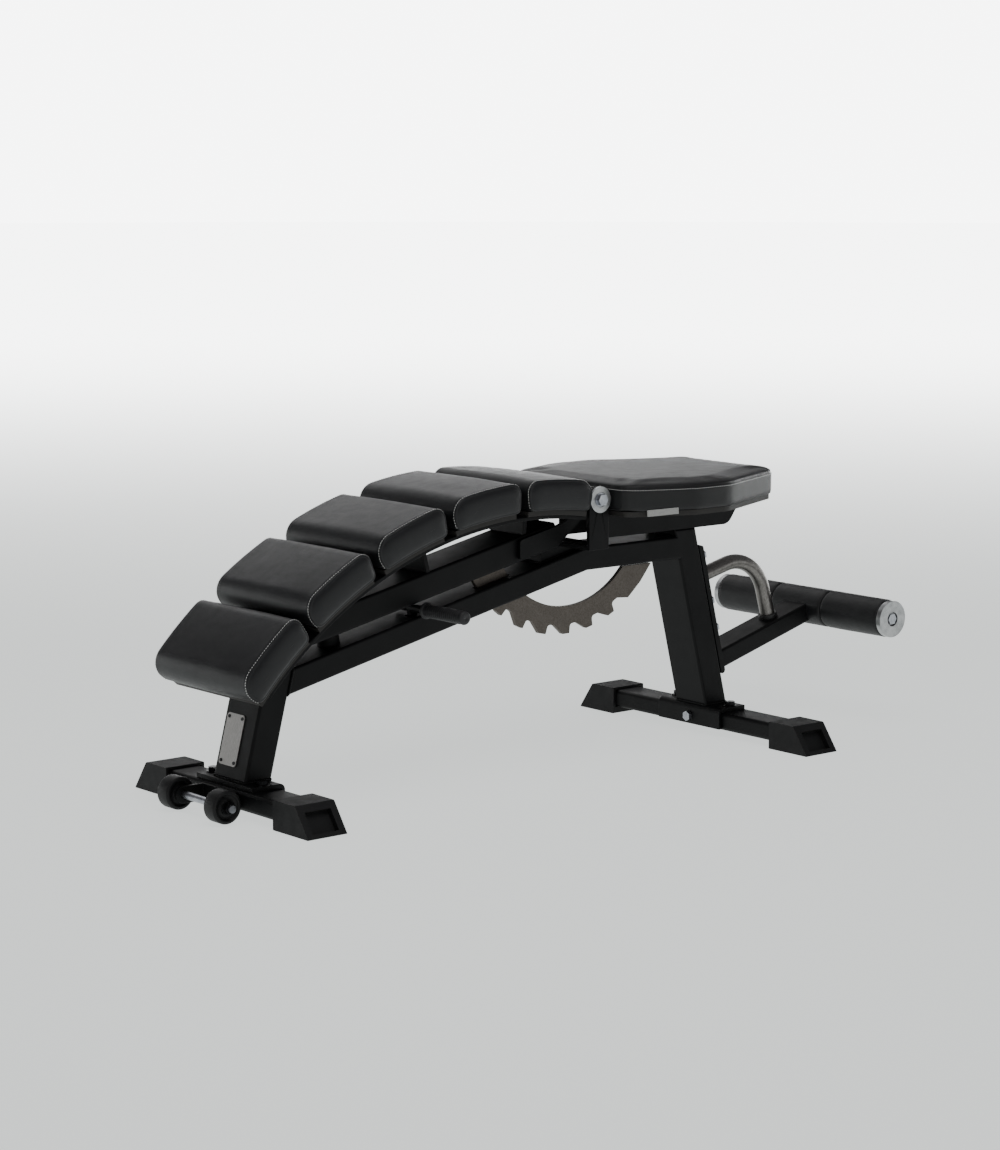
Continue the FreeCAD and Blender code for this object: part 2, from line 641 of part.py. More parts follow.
def quadrant():
    """Toothed plate under the chord tube: steep faces towards the roller, sloping backs towards the feet."""
    outer_top = chord_underside(PIVOT, d.tip_radius, -170, -130)
    inner_top = chord_underside(QUADRANT_CENTRE, d.quadrant_inner_radius, -170, -130)
    corners = [outer_top, (*polar(PIVOT, d.tip_radius, d.gullet_first - TIP_LEAD), 2)]
    for k in range(GULLETS):
        here = d.gullet_first + k * d.tooth_pitch
        corners.append((*polar(PIVOT, d.tip_radius, here - TIP_TRAIL), 1.5))
        corners.append((*polar(PIVOT, d.gullet_radius, here - FLOOR_HALF), 6))
        corners.append((*polar(PIVOT, d.gullet_radius, here + FLOOR_HALF), 6))
        corners.append((*polar(PIVOT, d.tip_radius, here + d.tooth_pitch - TIP_LEAD), 2))
    free_end = d.quadrant_free_end_z
    end_side = math.degrees(math.asin((free_end - d.pivot_z) / d.tip_radius))
    corners.append((*polar(PIVOT, d.tip_radius, (end_side + here + d.tooth_pitch - TIP_LEAD) / 2), 8))
    corners.append(polar(PIVOT, d.tip_radius, end_side))
    inner_side = math.degrees(math.asin((free_end - d.quadrant_inner_z) / d.quadrant_inner_radius))
    inner_free = polar(QUADRANT_CENTRE, d.quadrant_inner_radius, inner_side)
    inner_start = math.degrees(math.atan2(inner_top[1] - d.quadrant_inner_z, inner_top[0] - d.quadrant_inner_x))
    body = new_body("ratchet_quadrant")
    edges = outline(*corners, inner_free, closed=False)
    edges += [arc(QUADRANT_CENTRE, d.quadrant_inner_radius, inner_side, inner_start), segment(inner_top, outer_top)]
    pad(body, "XZ", edges, "quadrant_thickness")
    place(body, (0, d.quadrant_y, 0))


quadrant()

# ------------------------------------------------------------------ release latch inside the main beam


def on_beam(along, across):
    """A point in the beam's side view: along its sloped axis from the knee, and above that axis."""
    return shifted(BEAM_KNEE, d.beam_slope, along, across)


def in_beam(point):
    """The along and across of a point in the side view."""
    a = math.radians(d.beam_slope)
    dx, dz = point[0] - BEAM_KNEE[0], point[1] - BEAM_KNEE[1]
    return dx * math.cos(a) + dz * math.sin(a), dz * math.cos(a) - dx * math.sin(a)


HALF_NOSE = d.latch_nose / 2
ENGAGED = in_beam(polar(PIVOT, d.tip_radius - d.latch_bite + HALF_NOSE, d.gullet_first))
NOSE, LANE = ENGAGED[0] - d.latch_travel, ENGAGED[1]
ROD = in_beam((d.grip_x, d.grip_z))
HALF_LATCH = d.latch_height / 2
LATCH_FRONT = NOSE - d.latch_length
SHIFT = -d.quadrant_y
SLOT_WIDTH = 2 * d.slot_half


def beam_box(along_from, along_to, across_from, across_to):
    return outline(on_beam(along_from, across_from), on_beam(along_to, across_from),
                   on_beam(along_to, across_to), on_beam(along_from, across_to))


beam = subparts["main_beam"]
SWEEP_IN, SWEEP_OUT = d.quadrant_inner_radius + 7, d.tip_radius + 4
SWEEP_FRONT, SWEEP_REAR = -165, -105
pocket(beam, "XZ", [arc(PIVOT, SWEEP_IN, SWEEP_FRONT, SWEEP_REAR),
                    segment(polar(PIVOT, SWEEP_IN, SWEEP_REAR), polar(PIVOT, SWEEP_OUT, SWEEP_REAR)),
                    arc(PIVOT, SWEEP_OUT, SWEEP_REAR, SWEEP_FRONT),
                    segment(polar(PIVOT, SWEEP_OUT, SWEEP_FRONT), polar(PIVOT, SWEEP_IN, SWEEP_FRONT))],
       SLOT_WIDTH, shift=SHIFT)
rod_slot = beam_box(ROD[0] - SLOT_WIDTH, ROD[0] + SLOT_WIDTH + d.latch_travel, HALF_BEAM - 4, HALF_BEAM + 1)
pocket(beam, "XZ", rod_slot, SLOT_WIDTH, shift=SHIFT)
STOP = LATCH_FRONT - 1 - d.spring_length
INSIDE = HALF_BEAM - d.tube_wall
pad(beam, "XZ", beam_box(STOP - d.spring_stop, STOP, -INSIDE, INSIDE), d.beam_width - 2 * d.tube_wall)

latch_plate = doc.addObject("PartDesign::Body", "latch_plate")
shoulder = NOSE - d.latch_shoulder
tip, tip_round, stem_round = NOSE + HALF_NOSE, HALF_NOSE - 0.1, 4
stem_front, stem_rear = ROD[0] - d.rod_radius, ROD[0] + d.rod_radius
pad(latch_plate, "XZ",
    outline(on_beam(LATCH_FRONT, LANE - HALF_LATCH), on_beam(shoulder, LANE - HALF_LATCH),
            on_beam(shoulder + 2, LANE - HALF_NOSE), (*on_beam(tip, LANE - HALF_NOSE), tip_round),
            (*on_beam(tip, LANE + HALF_NOSE), tip_round), on_beam(shoulder + 2, LANE + HALF_NOSE),
            on_beam(shoulder, LANE + HALF_LATCH), (*on_beam(stem_rear, LANE + HALF_LATCH), stem_round),
            on_beam(stem_rear, ROD[1]), on_beam(stem_front, ROD[1]),
            (*on_beam(stem_front, LANE + HALF_LATCH), stem_round), on_beam(LATCH_FRONT, LANE + HALF_LATCH)),
    "latch_thickness")
place(latch_plate, (0, d.quadrant_y, 0))
rod_end = -d.grip_start - d.grip_length + d.grip_cap
latch_rod = rod("latch_rod", "rod_radius", -d.quadrant_y - rod_end, (d.grip_x, rod_end, d.grip_z))
keep("release_latch", fuse("release_latch", [latch_plate, latch_rod]))

grip_from, to_right = (d.grip_x, -d.grip_start, d.grip_z), (0, -1, 0)
grip_outside = rod("grip_outside", "grip_radius", "grip_length", grip_from, to_right)
grip_collar = rod("grip_collar", d.grip_radius + d.grip_flange, "grip_flange_length", grip_from, to_right)
grip_bore = rod("grip_bore", "rod_radius", "grip_length", (d.grip_x, -d.grip_start + d.grip_cap, d.grip_z), to_right)
keep("latch_grip", cut("latch_grip", fuse("grip_body", [grip_outside, grip_collar]), grip_bore))

guide = new_body("latch_guide")
guide_from = ROD[0] + d.guide_offset
guide_to = guide_from + d.guide_length
pad(guide, "XZ", beam_box(guide_from, guide_to, -INSIDE, INSIDE), "guide_width", shift=SHIFT)
free = d.guide_clearance
guide_lane = beam_box(guide_from - 1, guide_to + 1, LANE - HALF_LATCH - free, LANE + HALF_LATCH + free)
pocket(guide, "XZ", guide_lane, d.latch_thickness + 2 * free, shift=SHIFT)

helix = doc.addObject("Part::Helix", "spring_line")
helix.setExpression("Radius", "Dimensions.spring_radius")
helix.setExpression("Pitch", "Dimensions.spring_pitch")
helix.setExpression("Height", "Dimensions.spring_length - Dimensions.spring_wire")
wire = doc.addObject("Part::Circle", "spring_wire")
wire.Radius = d.spring_wire / 2
place(wire, (d.spring_radius, 0, 0), FreeCAD.Rotation(Vector(1, 0, 0), 90))
doc.recompute()
spring = doc.addObject("Part::Sweep", "latch_spring")
spring.Sections, spring.Spine, spring.Solid, spring.Frenet = [wire], helix, True, True
spring_from = on_beam(STOP + d.spring_wire / 2, LANE)
along_beam = Vector(math.cos(math.radians(d.beam_slope)), 0, math.sin(math.radians(d.beam_slope)))
place(spring, (spring_from[0], d.quadrant_y, spring_from[1]), FreeCAD.Rotation(Vector(0, 0, 1), along_beam))
keep("latch_spring", spring)

bumper_low = (d.bumper_x, beam_top(d.bumper_x))
bumper_high = chord_line(d.bumper_x, -HALF_CHORD)
bumper_height = (bumper_high - bumper_low[1]) * math.cos(math.radians(d.beam_slope)) - 0.5
normal = (-along_beam.z, 0, along_beam.x)
bumper_foot = (bumper_low[0], 0, bumper_low[1])
keep("backrest_bumper", rod("backrest_bumper", "bumper_radius", bumper_height, bumper_foot, normal))

# ------------------------------------------------------------------ seat

bracket = new_body("seat_bracket")
low, top, wall = d.seat_bracket_low, d.seat_bracket_top, d.seat_bracket_wall
front, rear = d.seat_bracket_front, d.seat_bracket_rear
pad(bracket, "XZ", outline((front, low, 6), (rear - d.seat_bracket_nose, low, 24), (rear, top), (front, top)),
    "seat_bracket_width")
pocket(bracket, "XZ", outline((front - 1, low - 1), (rear + 1, low - 1),
                              (rear + 1, top - wall), (front - 1, top - wall)), d.seat_bracket_width - 2 * wall)


def seat_outline(inset, roundness):
    """Plan of the seat: straight ends, widest a third of the way back."""
    front, rear = d.seat_front_x + inset, d.seat_rear_x - inset
    wide = d.seat_wide_half - inset
    half = [(front, d.seat_front_half - inset, roundness), (d.seat_wide_from, wide, 3 * roundness),
            (d.seat_wide_to, wide, 3 * roundness), (rear, d.seat_rear_half - inset, roundness)]
    return outline(*[(x, -y, r) for x, y, r in half], *reversed(half))


seat_board = new_body("seat_board")
pad(seat_board, "XY", seat_outline(d.seat_board_inset, d.seat_board_corner), "seat_board_thickness", symmetric=False)
place(seat_board, (0, 0, top))
seat_pad = new_body("seat_pad")
pad(seat_pad, "XY", seat_outline(0, d.seat_corner), "seat_thickness", symmetric=False)
place(seat_pad, (0, 0, top + d.seat_board_thickness))

# ------------------------------------------------------------------ leg roller on its arm

rear_foot, rear_axis = post_axis(d.rear_post_x, -d.rear_post_lean)
back_face = shifted(rear_foot, rear_axis, 0, -d.post_depth / 2)
outer_face = shifted(back_face, rear_axis, 0, -d.arm_plate_thickness)
arm_plate = new_body("roller_arm_plate")
pad(arm_plate, "XZ", outline(meet(back_face, rear_axis, (0, d.arm_plate_low), 0),
                             (*meet(outer_face, rear_axis, (0, d.arm_plate_low - 5), 0), 6),
                             (*meet(outer_face, rear_axis, (0, d.arm_plate_top), 0), 5),
                             meet(back_face, rear_axis, (0, d.arm_plate_top + 3), 0)), "rear_post_width")

ROLLER = (d.roller_x, d.roller_z)
HALF_ARM = d.arm_height / 2


def arm_section(inset, end):
    low_edge = shifted(ROLLER, d.arm_slope, 0, -HALF_ARM + inset)
    high_edge = shifted(ROLLER, d.arm_slope, 0, HALF_ARM - inset)
    start = outer_face if not inset else (outer_face[0] - d.tube_wall, outer_face[1])
    return outline(meet(low_edge, d.arm_slope, start, rear_axis), shifted(low_edge, d.arm_slope, end),
                   shifted(high_edge, d.arm_slope, end), meet(high_edge, d.arm_slope, start, rear_axis))


arm = new_body("roller_arm")
pad(arm, "XZ", arm_section(0, d.arm_end), "arm_width")
round_corners(arm, d.arm_width / 2)
pocket(arm, "XZ", arm_section(d.tube_wall, d.arm_hollow_end), d.arm_width - 2 * d.tube_wall)
pocket(arm, "XZ", circle(ROLLER, d.axle_radius), 2 * d.arm_width)

CAP_FACE = d.roller_half_span - d.end_cap_thickness
AXLE_END = CAP_FACE - d.axle_inset
keep("roller_axle", rod("roller_axle", "axle_radius", 2 * AXLE_END, (d.roller_x, -AXLE_END, d.roller_z)))
centre = new_body("roller_centre_sleeve")
pad(centre, "XZ", circle(ROLLER, d.roller_radius), 2 * d.centre_half)
pocket(centre, "XZ", arm_section(-HOLE_SLACK, d.arm_end + HOLE_SLACK), d.arm_width + 2 * HOLE_SLACK)
pocket(centre, "XZ", circle(ROLLER, d.axle_radius), 3 * d.centre_half)


def roller(hand, side):
    """Core tube running on the axle, foam sleeve on the core and a turned cap on the end."""
    start = (d.roller_x, side * (d.centre_half + d.roller_gap), d.roller_z)
    length = CAP_FACE - d.centre_half - d.roller_gap
    out = (0, side, 0)
    bore = rod("core_bore", d.axle_radius + d.running_clearance, length, start, out)
    core = cut(hand + "_roller_core", rod("core_body", "core_radius", length, start, out), bore)
    keep(hand + "_roller_core", core)
    sleeve = cut(hand + "_roller_sleeve", rod("sleeve_body", "roller_radius", length, start, out),
                 rod("sleeve_bore", "core_radius", length, start, out))
    keep(hand + "_roller_sleeve", sleeve)
    face = (d.roller_x, side * CAP_FACE, d.roller_z)
    recess_from = (d.roller_x, side * (CAP_FACE + d.cap_recess_floor), d.roller_z)
    recess = rod("cap_recess", "cap_recess_radius", "end_cap_thickness", recess_from, out)
    hole_from = (d.roller_x, side * (CAP_FACE - d.end_cap_thickness), d.roller_z)
    hole = rod("cap_hole", "cap_hole_radius", 4 * d.end_cap_thickness, hole_from, out)
    disc = rod("cap_disc", "end_cap_radius", "end_cap_thickness", face, out)
    keep(hand + "_roller_cap", cut(hand + "_roller_cap", disc, fuse("cap_tools", [recess, hole])))


for hand, side in SIDES:
    roller(hand, side)


def roller_bolt(side):
    """Button-head bolt in the cap's recess, screwed against the axle's end."""
    reach = d.axle_inset + d.cap_recess_floor + 0.7
    shank = rod("roller_bolt_shank", "shank_twelve", reach, (d.roller_x, side * AXLE_END, d.roller_z), (0, side, 0))
    seat = (d.roller_x, side * (AXLE_END + reach), d.roller_z)
    head = hexagon("roller_bolt_head", "hex_twelve", "shank_ten", seat, (0, side, 0))
    return fuse("roller_bolt", [shank, head])


group("end_bolts", [make(side) for make in (hinge_bolt, roller_bolt) for _, side in SIDES])

# bent pull handle from the arm plate over to the arm

apex = (d.handle_top_x, d.handle_top_z - d.handle_bend)
rise, fall = d.rear_post_lean, 90 - d.arm_slope
bend_start, bend_end = polar(apex, d.handle_bend, 90 + rise), polar(apex, d.handle_bend, 90 - fall)
arm_roof = shifted(ROLLER, d.arm_slope, 0, HALF_ARM)
handle_start = meet(bend_start, rise, outer_face, rear_axis)
handle_end = meet(bend_end, -fall, arm_roof, d.arm_slope)
spine = doc.addObject("Sketcher::SketchObject", "handle_line")
spine.Placement = FreeCAD.Placement(Vector(), FreeCAD.Rotation(Vector(1, 0, 0), 90))
spine.addGeometry([segment(handle_start, bend_start), arc(apex, d.handle_bend, 90 + rise, 90 - fall),
                   segment(bend_end, handle_end)], False)
handle_ring = doc.addObject("Part::Circle", "handle_section")
handle_ring.setExpression("Radius", "Dimensions.handle_radius")
start_line = Vector(math.cos(math.radians(rise)), 0, math.sin(math.radians(rise)))
place(handle_ring, (handle_start[0], 0, handle_start[1]), FreeCAD.Rotation(Vector(0, 0, 1), start_line))
doc.recompute()
handle = doc.addObject("Part::Sweep", "pull_handle")
handle.Sections, handle.Spine, handle.Solid, handle.Frenet = [handle_ring], spine, True, True
keep("pull_handle", handle)

up_handle = Vector(-math.cos(math.radians(fall)), 0, math.sin(math.radians(fall)))
collar_from = Vector(handle_end[0], 0, handle_end[1])
below_collar = collar_from - up_handle * d.collar_height
collar_bore = rod("collar_bore", "handle_radius", 3 * d.collar_height, tuple(below_collar), tuple(up_handle))
collar_body = rod("collar_body", "collar_radius", "collar_height", tuple(collar_from), tuple(up_handle))
keep("handle_collar", cut("handle_collar", collar_body, collar_bore))


def on_arm_plate(z, across):
    """A point on the arm plate's outer face at a height."""
    x, height = meet(outer_face, rear_axis, (0, z), 0)
    return (x, across, height)


plate_out = (math.cos(math.radians(d.rear_post_lean)), 0, math.sin(math.radians(d.rear_post_lean)))
ARM_BOLT_HEIGHTS, ARM_BOLT_SIDE = (325, 240, 190), 27
group("arm_plate_bolts", [bolt("arm_plate_bolt", on_arm_plate(z, side * ARM_BOLT_SIDE), plate_out, 0, "ten")
                          for z in ARM_BOLT_HEIGHTS for _, side in SIDES])

# ------------------------------------------------------------------ transport wheels

WHEEL = (d.wheel_x, d.wheel_z)
for hand, side in SIDES:
    wheel = new_body(hand + "_transport_wheel")
    pad(wheel, "XZ", circle(WHEEL, d.wheel_radius) + circle(WHEEL, d.wheel_axle_radius + d.running_clearance),
        "wheel_width", shift=-side * d.wheel_centre_y)
keep("wheel_axle", rod("wheel_axle", "wheel_axle_radius", "wheel_axle_length",
                       (d.wheel_x, -d.wheel_axle_length / 2, d.wheel_z)))
WHEEL_OUTER = d.wheel_centre_y + d.wheel_width / 2


def axle_nut(side):
    """Washer and nut outside a wheel, with a little side play."""
    play = 0.5
    start = (d.wheel_x, side * (WHEEL_OUTER + play), d.wheel_z)
    seat = (d.wheel_x, side * (WHEEL_OUTER + play + d.washer_thickness), d.wheel_z)
    bore = rod("nut_bore", "wheel_axle_radius", 40, (d.wheel_x, side * (WHEEL_OUTER - 10), d.wheel_z), (0, side, 0))
    nut = fuse("nut_body", [rod("nut_washer", "washer_radius", "washer_thickness", start, (0, side, 0)),
                            hexagon("nut_hex", "hex_twelve", "head_twelve", seat, (0, side, 0))])
    return cut("axle_nut", nut, bore)


side_pair("wheel_axle_nuts", axle_nut)

fork = new_body("wheel_bracket")
tube_front = d.front_base_x - d.cross_tube_width / 2 - HOLE_SLACK
fork_low, fork_high = d.cross_tube_floor_gap + 2, TUBE_TOP - 2
nose_x, nose_round = d.wheel_x - d.bracket_nose, d.bracket_nose - 1
pad(fork, "XZ", outline((tube_front, fork_low), (tube_front, fork_high), (nose_x, d.wheel_z + nose_round, nose_round),
                        (nose_x, d.wheel_z - nose_round, nose_round)), "bracket_span")
back, beyond = tube_front - d.bracket_back, d.wheel_x - 2 * d.wheel_radius
pocket(fork, "XZ", outline((back, 0), (back, 2 * TUBE_TOP), (beyond, 2 * TUBE_TOP), (beyond, 0)),
       d.bracket_span - 2 * d.bracket_arm)
pocket(fork, "XZ", circle(WHEEL, d.wheel_axle_radius), 2 * d.bracket_span)

# ------------------------------------------------------------------ checks and files

doc.recompute()
for item in doc.Objects:
    if "Invalid" in item.State or "Error" in item.State:
        raise RuntimeError("%s is %s" % (item.Label, item.State))
for label, item in subparts.items():
    if item.Shape.isNull() or not item.Shape.isValid():
        raise RuntimeError(label + " has no valid shape")

os.makedirs("parts", exist_ok=True)
for label, item in subparts.items():
    item.Shape.exportStep("parts/%s.step" % label)
print(len(subparts), "sub-parts written")
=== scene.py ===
import json
import math

import bmesh
import bpy
from mathutils import Matrix, Vector, noise
from mathutils.bvhtree import BVHTree


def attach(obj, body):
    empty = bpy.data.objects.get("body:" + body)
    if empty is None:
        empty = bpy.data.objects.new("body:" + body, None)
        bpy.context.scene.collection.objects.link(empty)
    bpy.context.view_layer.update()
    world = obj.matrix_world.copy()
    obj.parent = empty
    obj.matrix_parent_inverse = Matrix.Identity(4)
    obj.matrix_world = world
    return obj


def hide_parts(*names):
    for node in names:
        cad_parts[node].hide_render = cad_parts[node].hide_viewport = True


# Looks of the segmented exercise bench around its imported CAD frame. Metres, +Z up, +X towards the leg roller.

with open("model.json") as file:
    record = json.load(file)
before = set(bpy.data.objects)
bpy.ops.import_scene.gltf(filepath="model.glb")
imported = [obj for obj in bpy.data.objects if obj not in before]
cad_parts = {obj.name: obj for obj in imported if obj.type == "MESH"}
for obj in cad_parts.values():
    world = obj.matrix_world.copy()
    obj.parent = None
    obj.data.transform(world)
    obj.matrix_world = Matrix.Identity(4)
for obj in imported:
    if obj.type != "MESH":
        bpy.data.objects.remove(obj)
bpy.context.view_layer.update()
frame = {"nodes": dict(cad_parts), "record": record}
NODES = frame["nodes"]
MM = 0.001
SIDES = (("left", 1), ("right", -1))

# ------------------------------------------------------------------ materials


class Shade:
    """A Principled material under construction. Colours, roughness and bump are driven by its own nodes."""

    def __init__(self, name, metallic=0.0, specular=0.5, sheen=0.0):
        self.material = bpy.data.materials.new(name)
        self.material.use_nodes = True
        self.nodes = self.material.node_tree.nodes
        self.links = self.material.node_tree.links
        self.shader = self.nodes["Principled BSDF"]
        self.shader.inputs["Metallic"].default_value = metallic
        self.shader.inputs["Specular IOR Level"].default_value = specular
        self.shader.inputs["Sheen Weight"].default_value = sheen
        self.place = self.nodes.new("ShaderNodeTexCoord").outputs["Object"]
        self.normal = None

    def add(self, kind, links=(), **values):
        """A node; links maps its inputs to outputs, values sets its inputs or its own properties."""
        node = self.nodes.new("ShaderNode" + kind)
        for name, value in values.items():
            if hasattr(node, name):
                setattr(node, name, value)
            else:
                node.inputs[name.replace("_", " ").title()].default_value = value
        for name, output in dict(links).items():
            self.links.new(output, node.inputs[name])
        return node

    def mapped(self, scale=(1, 1, 1), location=(0, 0, 0)):
        node = self.add("Mapping", {"Vector": self.place})
        node.inputs["Scale"].default_value = scale
        node.inputs["Location"].default_value = location
        return node.outputs["Vector"]

    def noise(self, scale, detail=3.0, stretch=(1, 1, 1), roughness=0.5):
        return self.add("TexNoise", {"Vector": self.mapped(stretch)}, scale=scale, detail=detail,
                        roughness=roughness).outputs[0]

    def cells(self, scale):
        node = self.add("TexVoronoi", {"Vector": self.place}, scale=scale, feature="DISTANCE_TO_EDGE")
        return node.outputs["Distance"]

    def ramp(self, factor, *stops):
        """Maps a factor through stops of (position, grey or colour)."""
        node = self.add("ValToRGB", {"Fac": factor})
        elements = node.color_ramp.elements
        while len(elements) < len(stops):
            elements.new(0.5)
        for element, (position, value) in zip(elements, stops):
            element.position = position
            element.color = (*value, 1) if isinstance(value, tuple) else (value, value, value, 1)
        return node.outputs["Color"]

    def colour(self, output):
        self.links.new(output, self.shader.inputs["Base Color"])
        return self

    def rough(self, factor, low, high):
        node = self.add("MapRange", {"Value": factor}, to_min=low, to_max=high)
        self.links.new(node.outputs[0], self.shader.inputs["Roughness"])
        return self

    def bump(self, height, strength, depth):
        """Adds a bump layer; depth is in metres."""
        links = {"Height": height}
        if self.normal:
            links["Normal"] = self.normal
        node = self.add("Bump", links, strength=strength, distance=depth)
        self.normal = node.outputs["Normal"]
        self.links.new(self.normal, self.shader.inputs["Normal"])
        return self


def powder_coat():
    s = Shade("frame_powder_coat", specular=0.14)
    patch = s.noise(9, 4)
    s.colour(s.ramp(patch, (0.3, (0.0016, 0.0017, 0.0019)), (0.75, (0.0032, 0.0033, 0.0036))))
    s.rough(s.noise(34, 3), 0.42, 0.58)
    s.bump(s.noise(1500, 2), 0.35, 0.00012)
    s.bump(s.noise(260, 2), 0.25, 0.0002)
    return s.material


def leather(name, dark, light, low_rough, high_rough, grain, crease):
    """Coated leather: pebbled grain from cells, faint creases, worn tone patches."""
    s = Shade(name, specular=0.30, sheen=0.01)
    tone = s.noise(7, 5, roughness=0.6)
    s.colour(s.ramp(tone, (0.3, dark), (0.72, light)))
    s.rough(s.noise(60, 4), low_rough, high_rough)
    pebble = s.cells(grain)
    s.bump(s.ramp(pebble, (0.0, 0.0), (0.12, 0.75), (0.4, 1.0)), 0.35, 0.00016)
    s.bump(s.noise(grain * 2.2, 2), 0.25, 0.0001)
    fold = s.add("TexNoise", {"Vector": s.mapped((1.0, 0.35, 1.0))}, scale=crease, detail=5.0, distortion=1.6)
    s.bump(s.ramp(fold.outputs[0], (0.44, 1.0), (0.5, 0.0), (0.56, 1.0)), 0.13, 0.0005)
    return s.material


def metal(name, dark, light, low_rough, high_rough, stretch, scale, scratch=0.12):
    """Bare metal with a brushed or ground direction."""
    s = Shade(name, metallic=1.0)
    brush = s.noise(scale, 4, stretch)
    s.colour(s.ramp(brush, (0.3, dark), (0.7, light)))
    s.rough(s.noise(45, 4), low_rough, high_rough)
    s.bump(brush, scratch, 0.0001)
    return s.material


def turned(name, centre):
    """Machined aluminium with turning rings about an axis along Y."""
    s = Shade(name, metallic=1.0)
    rings = s.add("TexWave", {"Vector": s.mapped(location=(-centre[0], 0, -centre[1]))}, wave_type="RINGS",
                  rings_direction="Y", scale=420.0, distortion=0.6, detail=2.0)
    s.colour(s.ramp(s.noise(80, 3), (0.3, (0.30, 0.305, 0.31)), (0.7, (0.44, 0.445, 0.45))))
    s.rough(rings.outputs["Fac"], 0.24, 0.42)
    s.bump(rings.outputs["Fac"], 0.10, 0.00008)
    return s.material


def moulded(name, dark, light, low_rough, high_rough, pit=900, pit_strength=0.35, specular=0.4):
    """Moulded rubber or plastic with a fine spark-eroded texture."""
    s = Shade(name, specular=specular)
    s.colour(s.ramp(s.noise(22, 4), (0.3, dark), (0.75, light)))
    s.rough(s.noise(70, 4), low_rough, high_rough)
    s.bump(s.noise(pit, 2), pit_strength, 0.00015)
    s.bump(s.noise(120, 3), 0.15, 0.0002)
    return s.material


def base_bolts():
    """Black screws through the saddles' tops, bright zinc ones low on their flanges."""
    s = Shade("base_bolt_steel", metallic=1.0)
    height = s.add("SeparateXYZ", {"Vector": s.place}).outputs["Z"]
    zone = s.add("MapRange", {"Value": height}, from_min=0.044, from_max=0.048)
    grain = s.noise(240, 3)
    bright = s.ramp(grain, (0.3, (0.28, 0.29, 0.32)), (0.7, (0.44, 0.45, 0.48)))
    black = s.ramp(grain, (0.3, (0.008, 0.008, 0.009)), (0.7, (0.020, 0.020, 0.021)))
    mix = s.add("MixRGB", {"Fac": zone.outputs[0], "Color1": bright, "Color2": black})
    s.colour(mix.outputs[0])
    s.rough(s.noise(45, 4), 0.28, 0.46)
    s.bump(grain, 0.12, 0.0001)
    return s.material


def stained_board():
    s = Shade("board_black_stain", specular=0.35)
    grain = s.noise(60, 6, (1, 7, 7), roughness=0.65)
    s.colour(s.ramp(grain, (0.3, (0.008, 0.0075, 0.007)), (0.7, (0.020, 0.018, 0.016))))
    s.rough(grain, 0.5, 0.75)
    s.bump(grain, 0.4, 0.0003)
    return s.material


def woven(name, dark, light, scale):
    """Tightly woven tape or twisted thread."""
    s = Shade(name, specular=0.25, sheen=0.2)
    wave = s.add("TexWave", {"Vector": s.place}, wave_type="BANDS", bands_direction="DIAGONAL", scale=scale,
                 distortion=1.0, detail=1.0)
    s.colour(s.ramp(wave.outputs["Fac"], (0.2, dark), (0.8, light)))
    s.rough(s.noise(300, 2), 0.65, 0.85)
    s.bump(wave.outputs["Fac"], 0.4, 0.0001)
    return s.material


def studio_floor():
    s = Shade("studio_floor", specular=0.2)
    s.colour(s.ramp(s.noise(0.7, 2), (0.3, (0.66, 0.675, 0.67)), (0.7, (0.70, 0.71, 0.705))))
    s.rough(s.noise(3, 2), 0.75, 0.9)
    return s.material


# axes along Y, as (x, z)
ROLLER_CENTRE, HINGE_CENTRE = (0.6805, 0.201), (0.060, 0.4595)
EVEN = (1, 1, 1)
MOULDED_DARK, MOULDED_LIGHT = (0.0028, 0.0028, 0.0031), (0.0058, 0.0058, 0.0062)
LOOKS = {
    "frame_paint": powder_coat(),
    "foot_rubber": moulded("foot_moulded_rubber", MOULDED_DARK, MOULDED_LIGHT, 0.55, 0.75, specular=0.25),
    "wheel_plastic": moulded("wheel_moulded", MOULDED_DARK, MOULDED_LIGHT, 0.45, 0.62, specular=0.25),
    "zinc_steel": metal("zinc_plated_steel", (0.28, 0.295, 0.33), (0.46, 0.47, 0.50),
                        0.22, 0.40, EVEN, 120),
    "plate_steel": metal("data_plate_brushed", (0.20, 0.194, 0.187), (0.32, 0.31, 0.30),
                         0.34, 0.50, (1, 14, 1), 160),
    "bare_steel": metal("quadrant_bare_steel", (0.085, 0.075, 0.066), (0.130, 0.115, 0.103),
                        0.46, 0.62, EVEN, 520, 0.15),
    "handle_steel": metal("handle_brushed_steel", (0.13, 0.123, 0.116), (0.22, 0.21, 0.20),
                          0.30, 0.46, (1, 5, 1), 190),
    "machined_aluminium": turned("roller_cap_aluminium", ROLLER_CENTRE),
    "black_nylon": moulded("nylon_black", (0.012, 0.012, 0.012), (0.02, 0.02, 0.02), 0.4, 0.55),
    "grip_rubber": moulded("grip_ribbed_rubber", (0.007, 0.007, 0.008), (0.013, 0.013, 0.014),
                           0.5, 0.7, 1400, 0.5),
    "roller_sleeve": leather("roller_vinyl", (0.0030, 0.0031, 0.0036), (0.0055, 0.0057, 0.0064),
                             0.42, 0.56, 900, 9),
    "board_wood": stained_board(),
    "back_leather": leather("back_pad_leather", (0.0028, 0.0030, 0.0037), (0.0054, 0.0057, 0.0068),
                            0.36, 0.50, 620, 11),
    # the seat's leather is the back pads' leather painted lighter and greyer: a painted reflection of the
    # bright backdrop at a grazing angle
    "seat_leather": leather("seat_pad_leather_painted_reflection", (0.0036, 0.0037, 0.0041), (0.0064, 0.0066, 0.0071),
                            0.36, 0.50, 760, 8),
}
DISC_LOOK = turned("hinge_disc_aluminium", HINGE_CENTRE)
DARK_STEEL = metal("black_oxide_steel", (0.010, 0.010, 0.011), (0.022, 0.022, 0.023), 0.36, 0.52, EVEN, 300)
THREAD = woven("thread_off_white", (0.58, 0.58, 0.57), (0.80, 0.80, 0.78), 900)
